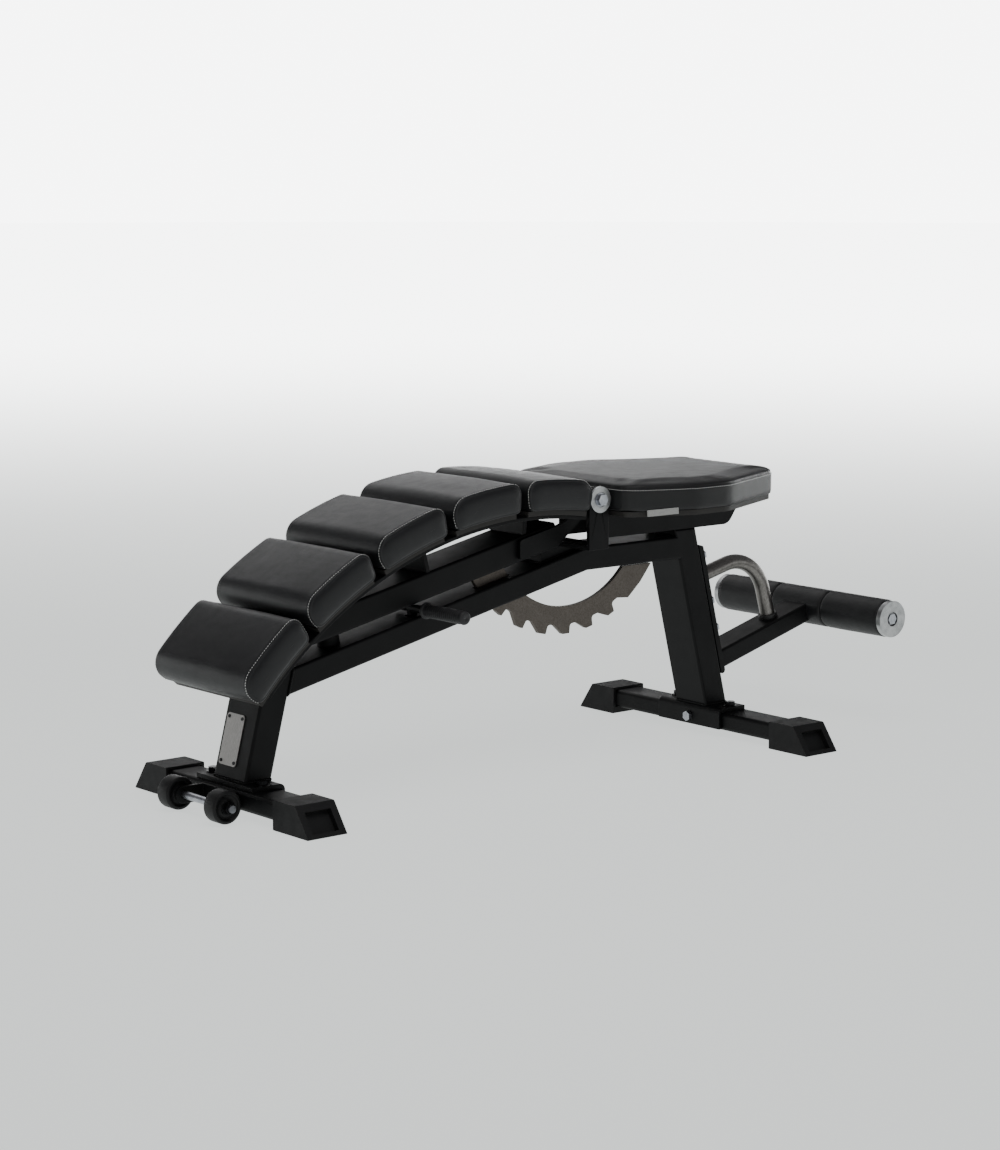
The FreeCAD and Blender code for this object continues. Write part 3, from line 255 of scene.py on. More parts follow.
TAPE = woven("label_woven_blank", (0.20, 0.20, 0.195), (0.36, 0.36, 0.35), 700)

NODE_SLOT = {row["node"]: row["material_slot"] for row in frame["record"]["subparts"]}


def paint(obj, look):
    obj.data.materials.clear()
    obj.data.materials.append(look)


for name, node in NODES.items():
    paint(node, LOOKS[NODE_SLOT[name]])
paint(NODES["hinge_discs"], DISC_LOOK)
paint(NODES["saddle_bolts"], base_bolts())
paint(NODES["wheel_axle_nuts"], DARK_STEEL)
paint(NODES["data_plate_rivets"], DARK_STEEL)

# ------------------------------------------------------------------ softened edges on CAD pieces

# bevel width in mm: the pieces that get it
EDGE_SOFTENING = {
    0.9: ("front_saddle", "rear_saddle", "hinge_yoke", "hinge_barrel", "roller_arm_plate", "seat_bracket",
          "arch_plate", "arch_webs", "wheel_bracket"),
    1.4: ("front_left_foot", "front_right_foot", "rear_left_foot", "rear_right_foot", "backrest_bumper"),
    0.5: ("ratchet_quadrant", "seat_board", "hinge_discs", "left_roller_cap", "right_roller_cap",
          "handle_collar", *("pad_board_%d" % k for k in range(1, 6))),
    0.35: ("saddle_bolts", "arm_plate_bolts", "end_bolts", "wheel_axle_nuts"),
}


def soften(node, width):
    """Small bevels on sharp edges, so that they catch the light."""
    weld = node.modifiers.new("weld", "WELD")
    weld.merge_threshold = 0.01 * MM
    bevel = node.modifiers.new("bevel", "BEVEL")
    bevel.width, bevel.segments, bevel.limit_method = width * MM, 2, "ANGLE"
    bevel.angle_limit = math.radians(35)
    node.modifiers.new("normals", "WEIGHTED_NORMAL").keep_sharp = False


for width, names in EDGE_SOFTENING.items():
    for name in names:
        soften(NODES[name], width)

# ------------------------------------------------------------------ mesh helpers


def new_piece(name, verts, faces, look, body=None, slot=None):
    mesh = bpy.data.meshes.new(name)
    mesh.from_pydata([tuple(v) for v in verts], [], faces)
    mesh.update()
    obj = bpy.data.objects.new(name, mesh)
    bpy.context.scene.collection.objects.link(obj)
    mesh.polygons.foreach_set("use_smooth", [True] * len(mesh.polygons))
    paint(obj, look)
    if body:
        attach(obj, body)
    return obj


def bridge(rings, caps=True):
    """Quads between equal closed rings of vertices; returns (verts, faces)."""
    count = len(rings[0])
    verts = [v for ring in rings for v in ring]
    faces = []
    for i in range(len(rings) - 1):
        for j in range(count):
            k = (j + 1) % count
            faces.append((i * count + j, i * count + k, (i + 1) * count + k, (i + 1) * count + j))
    if caps:
        last = (len(rings) - 1) * count
        faces.append(tuple(reversed(range(count))))
        faces.append(tuple(range(last, last + count)))
    return verts, faces


def looped(name, rings, body, slot):
    """A piece from rings that run round to the first one again, with its slot's look."""
    verts, faces = bridge(rings + [rings[0]], caps=False)
    total = len(verts) - len(rings[0])
    obj = new_piece(name, verts[:total], [tuple(v % total for v in f) for f in faces], LOOKS[slot], body, slot)
    tidy_normals(obj)
    return obj


def lathe(name, profile, centre, body, slot, turns=96, shape=None):
    """Revolves a closed (radius, y) outline about an axis along Y through centre (x, z)."""
    rings = []
    for i in range(turns):
        a = math.tau * i / turns
        ring = []
        for r, y in profile:
            radius = r + (shape(a, r, y) if shape else 0)
            ring.append((centre[0] + radius * math.cos(a), y, centre[1] + radius * math.sin(a)))
        rings.append(ring)
    return looped(name, rings, body, slot)


def tidy_normals(obj):
    work = bmesh.new()
    work.from_mesh(obj.data)
    bmesh.ops.remove_doubles(work, verts=work.verts, dist=1e-6)
    bmesh.ops.recalc_face_normals(work, faces=work.faces)
    work.to_mesh(obj.data)
    work.free()


def rounded(points, radii, step=2.0):
    """A closed outline in mm with rounded corners, points at most about step apart."""
    out = []
    count = len(points)
    for i in range(count):
        here, r = Vector(points[i]), radii[i]
        before = (Vector(points[i - 1]) - here).normalized()
        after = (Vector(points[(i + 1) % count]) - here).normalized()
        half = before.angle(after) / 2
        reach = r / math.tan(half)
        centre = here + (before + after).normalized() * (r / math.sin(half))
        a, b = here + before * reach - centre, here + after * reach - centre
        sweep = a.angle_signed(b)
        pieces = max(1, round(abs(sweep) * r / step))
        for k in range(pieces + 1):
            turn = Matrix.Rotation(-sweep * k / pieces, 2)
            out.append(centre + turn @ a)
    filled = []
    for i, p in enumerate(out):
        q = out[(i + 1) % len(out)]
        gap = (q - p).length
        if gap < 1e-4:
            continue
        pieces = max(1, round(gap / step))
        filled += [p.lerp(q, k / pieces) for k in range(pieces)]
    return filled


CLOTH_FRAMES = 20


def inflate(pieces):
    """Cloth under inner pressure on all pieces at once; each is (object, pins, pressure, cap in mm, slack)."""
    scene = bpy.context.scene
    for obj, pins, pressure, _, slack in pieces:
        group = obj.vertex_groups.new(name="pin")
        for index, weight in enumerate(pins):
            group.add([index], weight, "REPLACE")
        cloth = obj.modifiers.new("cloth", "CLOTH")
        settings = cloth.settings
        settings.quality, settings.mass, settings.air_damping = 6, 0.35, 4.0
        settings.tension_stiffness, settings.compression_stiffness, settings.bending_stiffness = 14, 10, 9.0
        settings.use_pressure, settings.uniform_pressure_force = True, pressure
        settings.effector_weights.gravity = 0
        settings.vertex_group_mass = "pin"
        settings.pin_stiffness = 4.0
        settings.shrink_min = -slack
        cloth.point_cache.frame_start, cloth.point_cache.frame_end = 1, CLOTH_FRAMES
    for number in range(1, CLOTH_FRAMES + 1):
        scene.frame_set(number)
    graph = bpy.context.evaluated_depsgraph_get()
    for obj, _, _, cap, _ in pieces:
        moved = [v.co.copy() for v in obj.evaluated_get(graph).data.vertices]
        for vertex, there in zip(obj.data.vertices, moved):
            step = there - vertex.co
            if step.length > cap * MM:
                step.length = cap * MM
            vertex.co += step
        obj.vertex_groups.clear()
    for obj, *_ in pieces:
        obj.modifiers.remove(obj.modifiers["cloth"])
    scene.frame_set(1)


def freeze(obj):
    """Turns the piece's mesh into what its modifiers make of it."""
    made = bpy.data.meshes.new_from_object(obj.evaluated_get(bpy.context.evaluated_depsgraph_get()))
    name = obj.data.name
    obj.modifiers.clear()
    old, obj.data = obj.data, made
    bpy.data.meshes.remove(old)
    made.name = name


def smooth_out(obj):
    """One level of subdivision, applied."""
    smooth = obj.modifiers.new("smooth", "SUBSURF")
    smooth.levels = smooth.render_levels = 1
    freeze(obj)


def surface_of(obj):
    places = [v.co.copy() for v in obj.data.vertices]
    return BVHTree.FromPolygons(places, [tuple(p.vertices) for p in obj.data.polygons])


def spread(path, pitch, closed):
    """Points and directions at an even pitch along a polyline."""
    points = list(path) + ([path[0]] if closed else [])
    out, carry = [], pitch / 2
    for a, b in zip(points, points[1:]):
        length = (b - a).length
        while carry < length:
            out.append((a.lerp(b, carry / length), (b - a).normalized()))
            carry += pitch
        carry -= length
    return out


STITCH_PITCH, STITCH_RADIUS = 4.8 * MM, 0.44 * MM
# along one stitch, as a part of its length; its thickness and its middle's height above the skin, in radii
STITCH_STATIONS = ((-0.5, 0.35, -0.15), (-0.28, 1.0, 0.62), (0.28, 1.0, 0.62), (0.5, 0.35, -0.15))


def stitches(name, target, path, body, slot, length=2.8 * MM, closed=False):
    """A row of separate thread stitches lying on the target's surface, near the path."""
    tree = surface_of(target)
    verts, faces = [], []
    for point, along in spread(path, STITCH_PITCH, closed):
        spot, out, _, _ = tree.find_nearest(point)
        side = out.cross(along).normalized()
        along = side.cross(out).normalized()
        rings = []
        for t, thickness, height in STITCH_STATIONS:
            middle = spot + along * (t * length) + out * (STITCH_RADIUS * height)
            rings.append([middle + (side * math.cos(a) + out * math.sin(a)) * (thickness * STITCH_RADIUS)
                          for a in (math.tau * k / 6 for k in range(6))])
        more, quads = bridge(rings)
        faces += [tuple(v + len(verts) for v in f) for f in quads]
        verts += more
    new_piece(name, verts, faces, THREAD, body, slot)


# ------------------------------------------------------------------ back cushions

# the arch's centre in (x, z), its radius at the boards' tops, and sizes of a cushion in side view, all in mm
ARCH_CENTRE, BOARD_TOP = Vector((-92, -292)), 744.5
PAD_LEANS = [-43.95 + 12.0 * k for k in range(5)]
PAD_HEIGHT, PAD_FOOT_HALF, PAD_HEAD_HALF, PAD_SIDE = 52.0, 70.0, 74.5, 131.5
LAST_PAD_DRAWN_IN = 4.5
FOOT_ROUNDS = (11, 9)
CROWN, SWELL = 5.0, 3.0
RIPPLE = 0.5
MIDDLE_RADIUS = BOARD_TOP + PAD_HEIGHT / 2


def on_arch(lean, along, height, y):
    """A point in metres, from mm along the arch, mm above the boards and y in mm."""
    angle = math.radians(90 - lean) - along / MIDDLE_RADIUS
    radius = BOARD_TOP + height
    x, z = ARCH_CENTRE.x + radius * math.cos(angle), ARCH_CENTRE.y + radius * math.sin(angle)
    return Vector((x, y, z)) * MM


def pad_profile(front_round, rear_round, drawn_in):
    corners = [(-PAD_FOOT_HALF, 0.4), (PAD_FOOT_HALF - drawn_in, 0.4), (PAD_HEAD_HALF - drawn_in, PAD_HEIGHT),
               (-PAD_HEAD_HALF, PAD_HEIGHT)]
    return rounded(corners, (*FOOT_ROUNDS, rear_round, front_round), 5.0)


def inset(point, amount):
    """A profile point drawn in evenly towards the middle of the cushion's side."""
    middle = PAD_HEIGHT / 2
    return (point.x * (1 - amount / PAD_HEAD_HALF), middle + (point.y - middle) * (1 - amount / middle))


# y from the side's plane inwards, and how far the profile is drawn in there; the seam is the deepest of these
SIDE_PANEL = [(3.2, 24.5), (3.1, 20.5), (2.8, 16.0), (2.2, 11.5), (1.2, 7.8), (0.0, 5.4), (-0.8, 4.3)]
SEAM_FOLD = [(-1.2, 3.3), (-1.0, 2.0), (-2.2, 0.7), (-4.2, 0.15), (-6.0, 0.35), (-8.5, 0.0)]
ACROSS_STEP = 5.2


def build_pad(number, lean, front_round, rear_round):
    profile = pad_profile(front_round, rear_round, LAST_PAD_DRAWN_IN if number == 5 else 0)
    inner = PAD_SIDE + SEAM_FOLD[-1][0]
    steps = round(2 * inner / ACROSS_STEP)
    half = [(PAD_SIDE + y, amount, "side") for y, amount in SIDE_PANEL] + \
           [(PAD_SIDE + y, amount, "seam") for y, amount in SEAM_FOLD]
    stations = [(-y, amount, kind) for y, amount, kind in half] + \
               [(-inner + 2 * inner * k / steps, 0, "wrap") for k in range(1, steps)] + \
               [(y, amount, kind) for y, amount, kind in reversed(half)]
    rings, pins = [], []
    for y, amount, kind in stations:
        ring = []
        for p in profile:
            along, height = inset(p, amount)
            lift = max(0.0, min(1.0, (height - 5) / 25))
            crown = 1 - (abs(y) / PAD_SIDE) ** 2.6
            ripple = RIPPLE * noise.noise(Vector((along * 0.03, y * 0.02, number * 7.3)))
            along *= 1 + SWELL / PAD_HEAD_HALF * crown * math.sin(math.pi * height / PAD_HEIGHT)
            dome = math.cos(math.pi / 2 * min(1.0, abs(along) / PAD_HEAD_HALF))
            rise = CROWN * crown * dome + (ripple if kind == "wrap" else 0)
            ring.append(on_arch(lean, along, height + lift * rise, y))
            pins.append(1.0 if height < 1.5 or kind != "wrap" else 0.0)
        rings.append(ring)
    obj = new_piece("back_cushion_%d" % number, *bridge(rings), LOOKS["back_leather"])
    tidy_normals(obj)
    return obj, pins, profile


HEAD_ROUNDS, LAST_HEAD_ROUNDS = (30, 18), (20, 27)
# pressure, the largest movement in mm and the cloth's slack; less than none draws the skin tight
PAD_CLOTH, SEAT_CLOTH = (3.5, 4.0, -0.004), (1.2, 1.6, -0.002)

cushions, jobs = [], []
for number, lean in enumerate(PAD_LEANS, start=1):
    obj, pins, profile = build_pad(number, lean, *(LAST_HEAD_ROUNDS if number == 5 else HEAD_ROUNDS))
    if len(pins) != len(obj.data.vertices):
        raise RuntimeError("pins do not match the cushion's vertices")
    cushions.append((number, lean, obj, profile))
    jobs.append((obj, pins, *PAD_CLOTH))

# ------------------------------------------------------------------ seat cushion

SEAT_LOW, SEAT_TOP, SEAT_SEAM = 438.3, 487.0, 478.6
SEAT_CORNERS = [(86, -151), (209, -198.5), (287, -198.5), (477, -116),
                (477, 116), (287, 198.5), (209, 198.5), (86, 151)]
SEAT_ROUNDS = (52, 95, 95, 44, 44, 95, 95, 52)
SEAT_MIDDLE = Vector((281, 0))
SEAT_CROWN, SEAT_CROWN_REACH = 2.2 * MM, 170 * MM


def seat_ring(points, amount, z):
    """The outline drawn in by an amount, at a height: mm in, metres out."""
    ring = []
    for i, p in enumerate(points):
        along = (points[(i + 1) % len(points)] - points[i - 1]).normalized()
        inward = Vector((-along.y, along.x))
        q = p + inward * amount
        ring.append(Vector((q.x, q.y, z)) * MM)
    return ring


def seat_outline(step):
    points = rounded(SEAT_CORNERS, SEAT_ROUNDS, step)
    area = sum(p.x * q.y - q.x * p.y for p, q in zip(points, points[1:] + points[:1]))
    return points if area > 0 else list(reversed(points))


def build_seat():
    outline = seat_outline(6)
    walls = [(3, SEAT_LOW), (0.8, SEAT_LOW + 2), (0, SEAT_LOW + 6), (0, SEAT_SEAM - 3), (0, SEAT_SEAM),
             (0.8, SEAT_SEAM + 2.4), (2.6, SEAT_TOP - 4.0), (5.4, SEAT_TOP - 2.2), (9.5, SEAT_TOP - 0.8),
             (15, SEAT_TOP)]
    rings = [seat_ring(outline, amount, z) for amount, z in walls]
    obj = new_piece("seat_cushion", *bridge(rings), LOOKS["seat_leather"])
    tidy_normals(obj)
    remesh = obj.modifiers.new("remesh", "REMESH")
    remesh.mode, remesh.voxel_size = "VOXEL", 5 * MM
    freeze(obj)
    mesh = obj.data
    mesh.polygons.foreach_set("use_smooth", [True] * len(mesh.polygons))
    paint(obj, LOOKS["seat_leather"])
    pins, rim = [], [p * MM for p in outline]
    for v in mesh.vertices:
        z = v.co.z / MM
        if z > SEAT_TOP - 3:
            inside = min(1.0, min((p - v.co.xy).length for p in rim) / SEAT_CROWN_REACH)
            v.co.z += SEAT_CROWN * (1 - (1 - inside) ** 2)
        pins.append(1.0 if z < SEAT_LOW + 3 or abs(z - SEAT_SEAM) < 3 else 0.0)
    return obj, pins


seat, seat_pins = build_seat()
jobs.append((seat, seat_pins, *SEAT_CLOTH))
inflate(jobs)

SEAM_DEPTH, SEAM_HALF_WIDTH, SEAM_REACH = 1.5, 3.2, 8


def press_seam(obj):
    """Draws the seat's seam line into the side, on the subdivided mesh."""
    rim = [p * MM for p in seat_outline(3)]
    for v in obj.data.vertices:
        off = abs(v.co.z / MM - SEAT_SEAM) / SEAM_HALF_WIDTH
        if off >= 1 or min((p - v.co.xy).length for p in rim) > SEAM_REACH * MM:
            continue
        inward = (SEAT_MIDDLE * MM - v.co.xy).normalized()
        shift = inward * (SEAM_DEPTH * MM * (1 + math.cos(math.pi * off)) / 2)
        v.co.x += shift.x
        v.co.y += shift.y


# the cushions' stitches: how far inside the side's plane, and how far outside the skin their line is looked up
STITCH_INSET, LOOK_UP_SCALE, LOOK_UP_LIFT = 4.6, 1.03, 3

for number, lean, obj, profile in cushions:
    smooth_out(obj)
    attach(obj, "backrest")
    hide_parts("back_pad_%d" % number)
    start = max(range(len(profile)), key=lambda i: (profile[i].y < 1, profile[i].x))
    around = profile[start:] + profile[:start]
    for hand, side in SIDES:
        path = [on_arch(lean, p.x * LOOK_UP_SCALE, p.y + (LOOK_UP_LIFT if p.y > 10 else 0),
                        side * (PAD_SIDE - STITCH_INSET)) for p in around if p.y > 3.0]
        stitches("back_cushion_%d_stitches_%s" % (number, hand), obj, path, "backrest", "back_leather")

smooth_out(seat)
press_seam(seat)
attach(seat, "base")
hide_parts("seat_pad")
stitches("seat_stitches", seat, seat_ring(seat_outline(3), -2, SEAT_SEAM - 3.4), "base", "seat_leather",
         length=2.7 * MM, closed=True)

# ------------------------------------------------------------------ seat label

LABEL_FROM, LABEL_TO, LABEL_LOW, LABEL_HIGH, LABEL_SLANT, LABEL_THICKNESS = 118, 172, 431.5, 442.5, 3.0, 0.45
# how fast the seat's side runs outwards from its corner at the hinge, and how far off it the search starts
SEAT_FLARE, SEARCH_OFFSET = 0.374, 11


def seat_label():
    """Blank woven tape sewn along the seat's lower edge, hanging a little below it."""
    tree = surface_of(seat)
    columns, rows = 24, 6
    corner_x, corner_y = SEAT_CORNERS[0]
    front, back = [], []
    for j in range(rows + 1):
        for i in range(columns + 1):
            x = LABEL_FROM + (LABEL_TO - LABEL_FROM) * i / columns
            z = LABEL_LOW + (LABEL_HIGH - LABEL_LOW) * j / rows + LABEL_SLANT * (i / columns - 0.5)
            beside = corner_y - SEAT_FLARE * (x - corner_x) - SEARCH_OFFSET
            spot, out, _, _ = tree.find_nearest(Vector((x, beside, SEAT_LOW + 7)) * MM)
            out = Vector((out.x, out.y, 0)).normalized()
            lift = 0.5 + (0.9 * math.sin(2 * math.pi * i / columns) + 1.1) * (1 - j / rows)
            spot = Vector((spot.x, spot.y, z * MM))
            front.append(spot + out * (lift + LABEL_THICKNESS) * MM)
            back.append(spot + out * lift * MM)
    count, wide = len(front), columns + 1
    faces = []
    for j in range(rows):
        for i in range(columns):
            a = j * wide + i
            faces.append((a, a + 1, a + wide + 1, a + wide))
            faces.append((count + a, count + a + wide, count + a + wide + 1, count + a + 1))
    rim = list(range(wide)) + [j * wide + columns for j in range(1, rows + 1)] + \
        [rows * wide + i for i in range(columns - 1, -1, -1)] + [j * wide for j in range(rows - 1, 0, -1)]
    for a, b in zip(rim, rim[1:] + rim[:1]):
        faces.append((a, count + a, count + b, b))
    obj = new_piece("seat_label", front + back, faces, TAPE, "base", "seat_leather")
    tidy_normals(obj)


seat_label()

# ------------------------------------------------------------------ leg roller sleeves

ROLLER_RADIUS, CORE_RADIUS, AXLE_RADIUS = 34.3 * MM, 15.05 * MM, 10.4 * MM
SLEEVE_EDGE, SLEEVE_STEPS = 4.5 * MM, 24


def arc_points(centre, radius, start, end, count=5):
    """Points of an arc in a (radius, y) outline, angles in degrees."""
    turns = [math.radians(start + (end - start) * k / count) for k in range(count + 1)]
    return [(centre[0] + radius * math.cos(turn), centre[1] + radius * math.sin(turn)) for turn in turns]


def sleeve(hand, low, high, bore, body, seed):
    """Foam sleeve in a vinyl cover: rounded ends and a slightly uneven skin."""
    edge = SLEEVE_EDGE
    straight = high - low - 2 * edge
    outer = [(ROLLER_RADIUS, low + edge + straight * k / SLEEVE_STEPS) for k in range(1, SLEEVE_STEPS)]
    profile = [(bore, low)] + arc_points((ROLLER_RADIUS - edge, low + edge), edge, -90, 0) + outer + \
        arc_points((ROLLER_RADIUS - edge, high - edge), edge, 0, 90) + [(bore, high)]

    def shape(a, r, y):
        if r < ROLLER_RADIUS * 0.8:
            return 0
        soft = noise.noise(Vector((math.cos(a) * 1.3 + seed, math.sin(a) * 1.3, y * 26)))
        fine = noise.noise(Vector((math.cos(a) * 4, math.sin(a) * 4 + seed, y * 95)))
        return (0.32 * soft + 0.10 * fine) * MM

    obj = lathe(hand + "_roller_cover", profile, ROLLER_CENTRE, body, "roller_sleeve", shape=shape)
    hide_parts("roller_centre_sleeve" if hand == "centre" else hand + "_roller_sleeve")


SLEEVE_INNER, SLEEVE_OUTER, CENTRE_HALF = 64.0 * MM, 206.3 * MM, 63.2 * MM

for hand, side in SIDES:
    low, high = sorted((side * SLEEVE_INNER, side * SLEEVE_OUTER))
    sleeve(hand, low, high, CORE_RADIUS, hand + "_roller", side * 3.1)
sleeve("centre", -CENTRE_HALF, CENTRE_HALF, AXLE_RADIUS, "base", 9.4)

# ------------------------------------------------------------------ transport wheels

WHEEL_CENTRE, WHEEL_RADIUS, WHEEL_BORE = (-0.688, 0.0285), 27 * MM, 6.4 * MM
WHEEL_INNER, WHEEL_OUTER = 51 * MM, 81 * MM
WHEEL_EDGE, WHEEL_DISH, WHEEL_HUB = 3.5 * MM, 3.0 * MM, 11.5 * MM


def wheel(hand, side):
    """Moulded wheel: rounded tread edges, a dished web and a raised hub on both faces."""
    edge, dish, hub = WHEEL_EDGE, WHEEL_DISH, WHEEL_HUB

    def face(y, inward):
        """Half an outline at one face, from the bore to the tread; inward is the direction into the wheel."""
        tread = arc_points((WHEEL_RADIUS - edge, y + inward * edge), edge, -90 * inward, 0, 4)
        return [(WHEEL_BORE, y), (hub - 1 * MM, y), (hub, y + inward * 1 * MM), (hub, y + inward * dish),
                (hub + 1 * MM, y + inward * (dish + 0.6 * MM)), (19 * MM, y + inward * (dish + 0.4 * MM)),
                (20.5 * MM, y + inward * dish * 0.4), (21.5 * MM, y)] + tread

    low, high = sorted((side * WHEEL_INNER, side * WHEEL_OUTER))
    profile = face(low, 1) + face(high, -1)[::-1]
    obj = lathe(hand + "_wheel", profile, WHEEL_CENTRE, hand + "_wheel", "wheel_plastic", turns=72)
    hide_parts(hand + "_transport_wheel")


for hand, side in SIDES:
    wheel(hand, side)

# ------------------------------------------------------------------ ribbed grip of the latch

GRIP_CENTRE, GRIP_BORE, GRIP_RADIUS = (-0.275, 0.297), 7.05 * MM, 11.5 * MM
GRIP_FROM, GRIP_TO, GRIP_RIBS = -60 * MM, -166 * MM, 16
GRIP_FLANGE, RIB_DEPTH, GRIP_END_ROUND = 14 * MM, 0.9 * MM, 5 * MM


def grip():
    """Rubber grip: a flange, rounded ribs along it and a domed end."""
    profile = [(GRIP_BORE, GRIP_FROM), (GRIP_FLANGE - 1 * MM, GRIP_FROM), (GRIP_FLANGE, GRIP_FROM - 1 * MM),
               (GRIP_FLANGE, GRIP_FROM - 4 * MM), (GRIP_FLANGE - 1.2 * MM, GRIP_FROM - 5 * MM),
               (GRIP_RADIUS + 0.2 * MM, GRIP_FROM - 6 * MM)]
    start, stop = GRIP_FROM - 8 * MM, GRIP_TO + 12 * MM
    steps = GRIP_RIBS * 8
    for k in range(steps + 1):
        wave = math.sin(math.pi * GRIP_RIBS * k / steps)
        profile.append((GRIP_RADIUS - RIB_DEPTH * (1 - abs(wave) ** 0.5), start + (stop - start) * k / steps))
    profile += arc_points((GRIP_RADIUS - GRIP_END_ROUND, GRIP_TO + GRIP_END_ROUND), GRIP_END_ROUND, 0, -90, 6)
    profile += [(0.4 * MM, GRIP_TO), (0.4 * MM, GRIP_TO + 6 * MM), (GRIP_BORE, GRIP_TO + 6 * MM)]
    obj = lathe("latch_grip_ribbed", profile, GRIP_CENTRE, "latch", "grip_rubber", turns=64)
    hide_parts("latch_grip")


grip()

# ------------------------------------------------------------------ weld beads

BEAD_RADIUS, BEAD_RIPPLE, BEAD_CORNER, BEAD_STEP = 2.3, 2.6, 5, 0.65
POST_FOOT_HEIGHT = 52.6


def bead(name, corners):
    """A closed weld bead in mm along a rounded path; corners are points in one plane, in order."""
    a, b, c = (Vector(p) for p in corners[:3])
    u = (b - a).normalized()
    w = u.cross(c - b).normalized()
    v = w.cross(u)
    flat = [((Vector(p) - a).dot(u), (Vector(p) - a).dot(v)) for p in corners]
    path = [a + u * p.x + v * p.y for p in rounded(flat, [BEAD_CORNER] * len(flat), BEAD_STEP)]
    rings, travelled = [], 0
    for i, p in enumerate(path):
        along = (path[(i + 1) % len(path)] - path[i - 1]).normalized()
        side = along.cross(w).normalized()
        ripple = 0.16 * math.cos(math.tau * travelled / BEAD_RIPPLE) + 0.12 * noise.noise(p * 0.09)
        swell = BEAD_RADIUS * (1 + ripple)
        rings.append([(p + (side * math.cos(t) + w * math.sin(t)) * swell) * MM
                      for t in (math.tau * k / 8 for k in range(8))])
        travelled += (path[(i + 1) % len(path)] - p).length
    looped(name, rings, "base", "frame_paint")


def joint(name, half_width, start, end):
    """Bead round a tube's end: the two side-view points of the joint, at both side faces."""
    (x0, z0), (x1, z1) = start, end
    bead(name, [(x0, -half_width, z0), (x1, -half_width, z1), (x1, half_width, z1), (x0, half_width, z0)])


def post_foot(name, half_width, x, half_depth, lean):
    """Bead round a post where it stands on its saddle."""
    reach = half_depth / math.cos(math.radians(lean))
    joint(name, half_width, (x - reach, POST_FOOT_HEIGHT), (x + reach, POST_FOOT_HEIGHT))


post_foot("front_post_weld", 45, -604, 25, 14.5)
post_foot("rear_post_weld", 40, 409.5, 25, 14)
joint("front_beam_weld", 45, (-543.9, 184.4), (-532.7, 227.8))
joint("rear_beam_weld", 40.3, (315.2, 327.0), (305.2, 367.0))
joint("roller_arm_weld", 30, (430.7, 111.7), (422.5, 144.7))
joint("yoke_weld", 30, (0, 347.0), (82, 365.3))

# ------------------------------------------------------------------ studio

FLOOR_RADII, FLOOR_TURNS, FLOOR_DROP = (0.0001, 1.5, 3, 5, 8, 13, 20, 30.0), 64, -0.0005
# colours of the sky: behind the object, elsewhere near the horizon, and overhead
BACKDROP, SURROUND, SKY = (7.0, 7.1, 7.1), (0.9, 0.91, 0.91), (0.24, 0.24, 0.245)
BACKDROP_WAY = (0.637, 0.771, 0.0)
# the floor's own glow near the object and far behind it, and its least share
FLOOR_NEAR, FLOOR_FAR = (1.42, 1.48, 1.46), (6.4, 6.5, 6.48)
FLOOR_GLOW = 0.66


def towards(tree, vector):
    """How far a position or direction points to the backdrop's side."""
    node = tree.nodes.new("ShaderNodeVectorMath")
    node.operation = "DOT_PRODUCT"
    node.inputs[1].default_value = BACKDROP_WAY
    tree.links.new(vector, node.inputs[0])
    return node.outputs["Value"]


def fade(tree, value, start, stop, low=0.0, high=1.0):
    node = tree.nodes.new("ShaderNodeMapRange")
    node.interpolation_type = "SMOOTHSTEP"
    for socket, number in (("From Min", start), ("From Max", stop), ("To Min", low), ("To Max", high)):
        node.inputs[socket].default_value = number
    tree.links.new(value, node.inputs["Value"])
    return node.outputs["Result"]


def two_tones(tree, first, second, factor):
    """Mixes two colours; the first may be a colour or a node's output."""
    node = tree.nodes.new("ShaderNodeMixRGB")
    if isinstance(first, tuple):
        node.inputs["Color1"].default_value = (*first, 1)
    else:
        tree.links.new(first, node.inputs["Color1"])
    node.inputs["Color2"].default_value = (*second, 1)
    tree.links.new(factor, node.inputs["Fac"])
    return node.outputs[0]


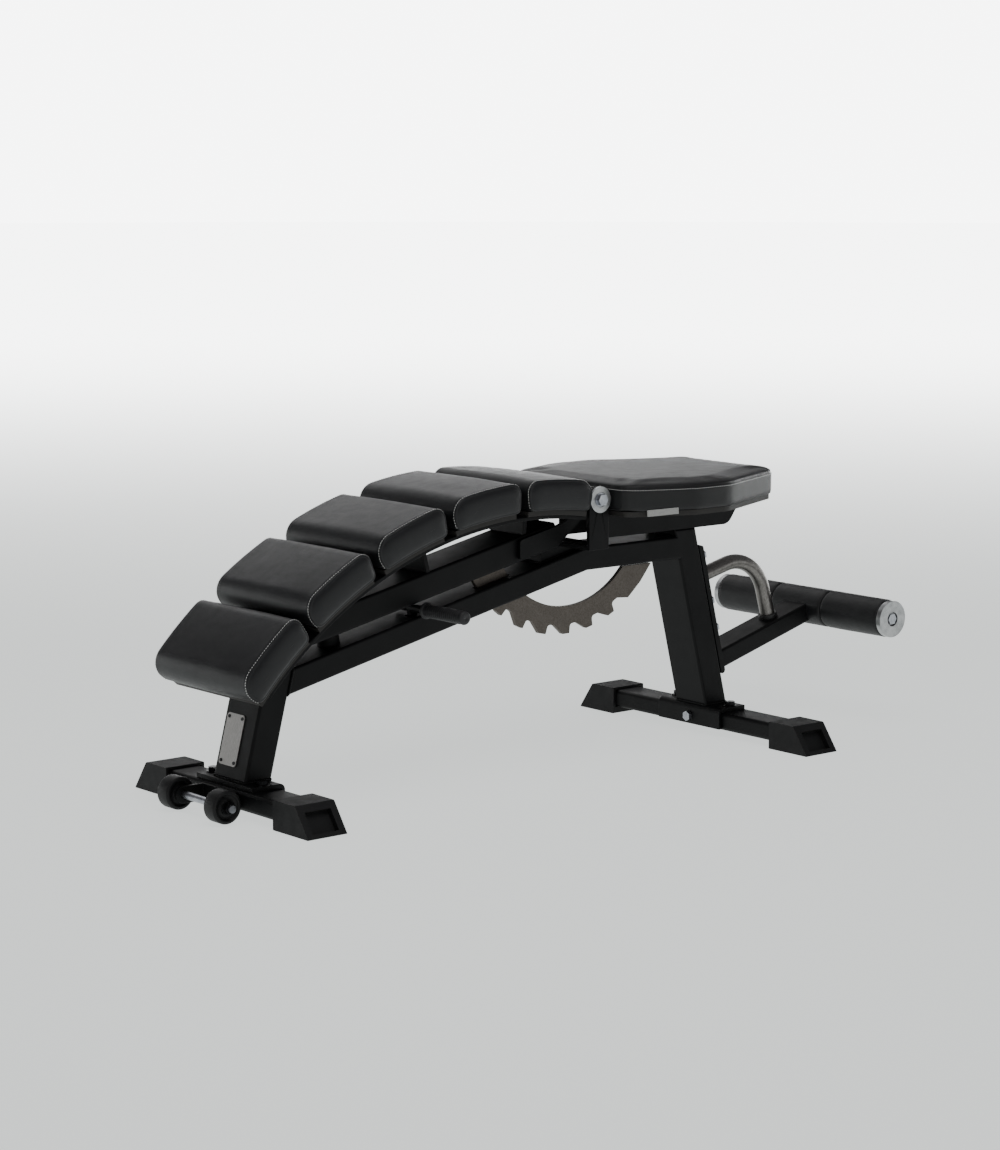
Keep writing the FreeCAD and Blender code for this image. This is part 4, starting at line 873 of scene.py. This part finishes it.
def studio():
    turns = [math.tau * k / FLOOR_TURNS for k in range(FLOOR_TURNS)]
    rings = [[Vector((r * math.cos(a), r * math.sin(a), FLOOR_DROP)) for a in turns] for r in FLOOR_RADII]
    floor = new_piece("floor", *bridge(rings, caps=False), studio_floor())
    tree = floor.data.materials[0].node_tree
    glow = tree.nodes.new("ShaderNodeEmission")
    place = tree.nodes.new("ShaderNodeTexCoord").outputs["Object"]
    reach = tree.nodes.new("ShaderNodeVectorMath")
    reach.operation = "LENGTH"
    tree.links.new(place, reach.inputs[0])
    tint = two_tones(tree, FLOOR_NEAR, FLOOR_FAR, fade(tree, towards(tree, place), 0.8, 11.0))
    tree.links.new(tint, glow.inputs["Color"])
    mix = tree.nodes.new("ShaderNodeMixShader")
    tree.links.new(fade(tree, reach.outputs["Value"], 2.2, 9.0, FLOOR_GLOW), mix.inputs["Fac"])
    tree.links.new(tree.nodes["Principled BSDF"].outputs[0], mix.inputs[1])
    tree.links.new(glow.outputs[0], mix.inputs[2])
    tree.links.new(mix.outputs[0], tree.nodes["Material Output"].inputs["Surface"])

    world = bpy.context.scene.world or bpy.data.worlds.new("studio")
    bpy.context.scene.world = world
    world.use_nodes = True
    sky = world.node_tree
    way = sky.nodes.new("ShaderNodeTexCoord").outputs["Generated"]
    height = sky.nodes.new("ShaderNodeSeparateXYZ")
    sky.links.new(way, height.inputs[0])
    band = two_tones(sky, SURROUND, BACKDROP, fade(sky, towards(sky, way), 0.2, 0.8))
    tone = two_tones(sky, band, SKY, fade(sky, height.outputs["Z"], 0.045, 0.16))
    sky.links.new(tone, sky.nodes["Background"].inputs["Color"])


def lamp(name, place, target, size, power, tint=(1, 1, 1)):
    data = bpy.data.lights.new(name, "AREA")
    data.shape, data.size, data.size_y = "RECTANGLE", size[0], size[1]
    data.energy, data.color = power, tint
    obj = bpy.data.objects.new(name, data)
    bpy.context.scene.collection.objects.link(obj)
    obj.location = place
    obj.rotation_euler = (Vector(target) - Vector(place)).to_track_quat("-Z", "Y").to_euler()


studio()
MIDDLE = (-0.05, 0, 0.3)
lamp("key", (-0.6, -0.9, 2.9), MIDDLE, (2.4, 1.6), 40)
lamp("rim", (0.9, 2.6, 1.9), MIDDLE, (2.6, 1.4), 16)
lamp("fill", (-3.2, -1.4, 1.2), MIDDLE, (1.2, 1.4), 3, (1.0, 0.99, 0.97))

CAMERA_AZIMUTH, CAMERA_ELEVATION, CAMERA_DISTANCE, CAMERA_LENS = -39.60, 8.59, 5.045, 92.5
CAMERA_TARGET = Vector((-0.0665, 0, 0.329))


def camera():
    a, e = math.radians(CAMERA_AZIMUTH), math.radians(CAMERA_ELEVATION)
    back = Vector((math.sin(a) * math.cos(e), -math.cos(a) * math.cos(e), math.sin(e)))
    data = bpy.data.cameras.new("camera")
    data.sensor_width, data.lens = 36, CAMERA_LENS
    data.clip_end = 100
    obj = bpy.data.objects.new("camera", data)
    bpy.context.scene.collection.objects.link(obj)
    obj.location = CAMERA_TARGET + back * CAMERA_DISTANCE
    obj.rotation_mode = "QUATERNION"
    obj.rotation_quaternion = (-back).to_track_quat("-Z", "Y")
    bpy.context.scene.camera = obj


camera()
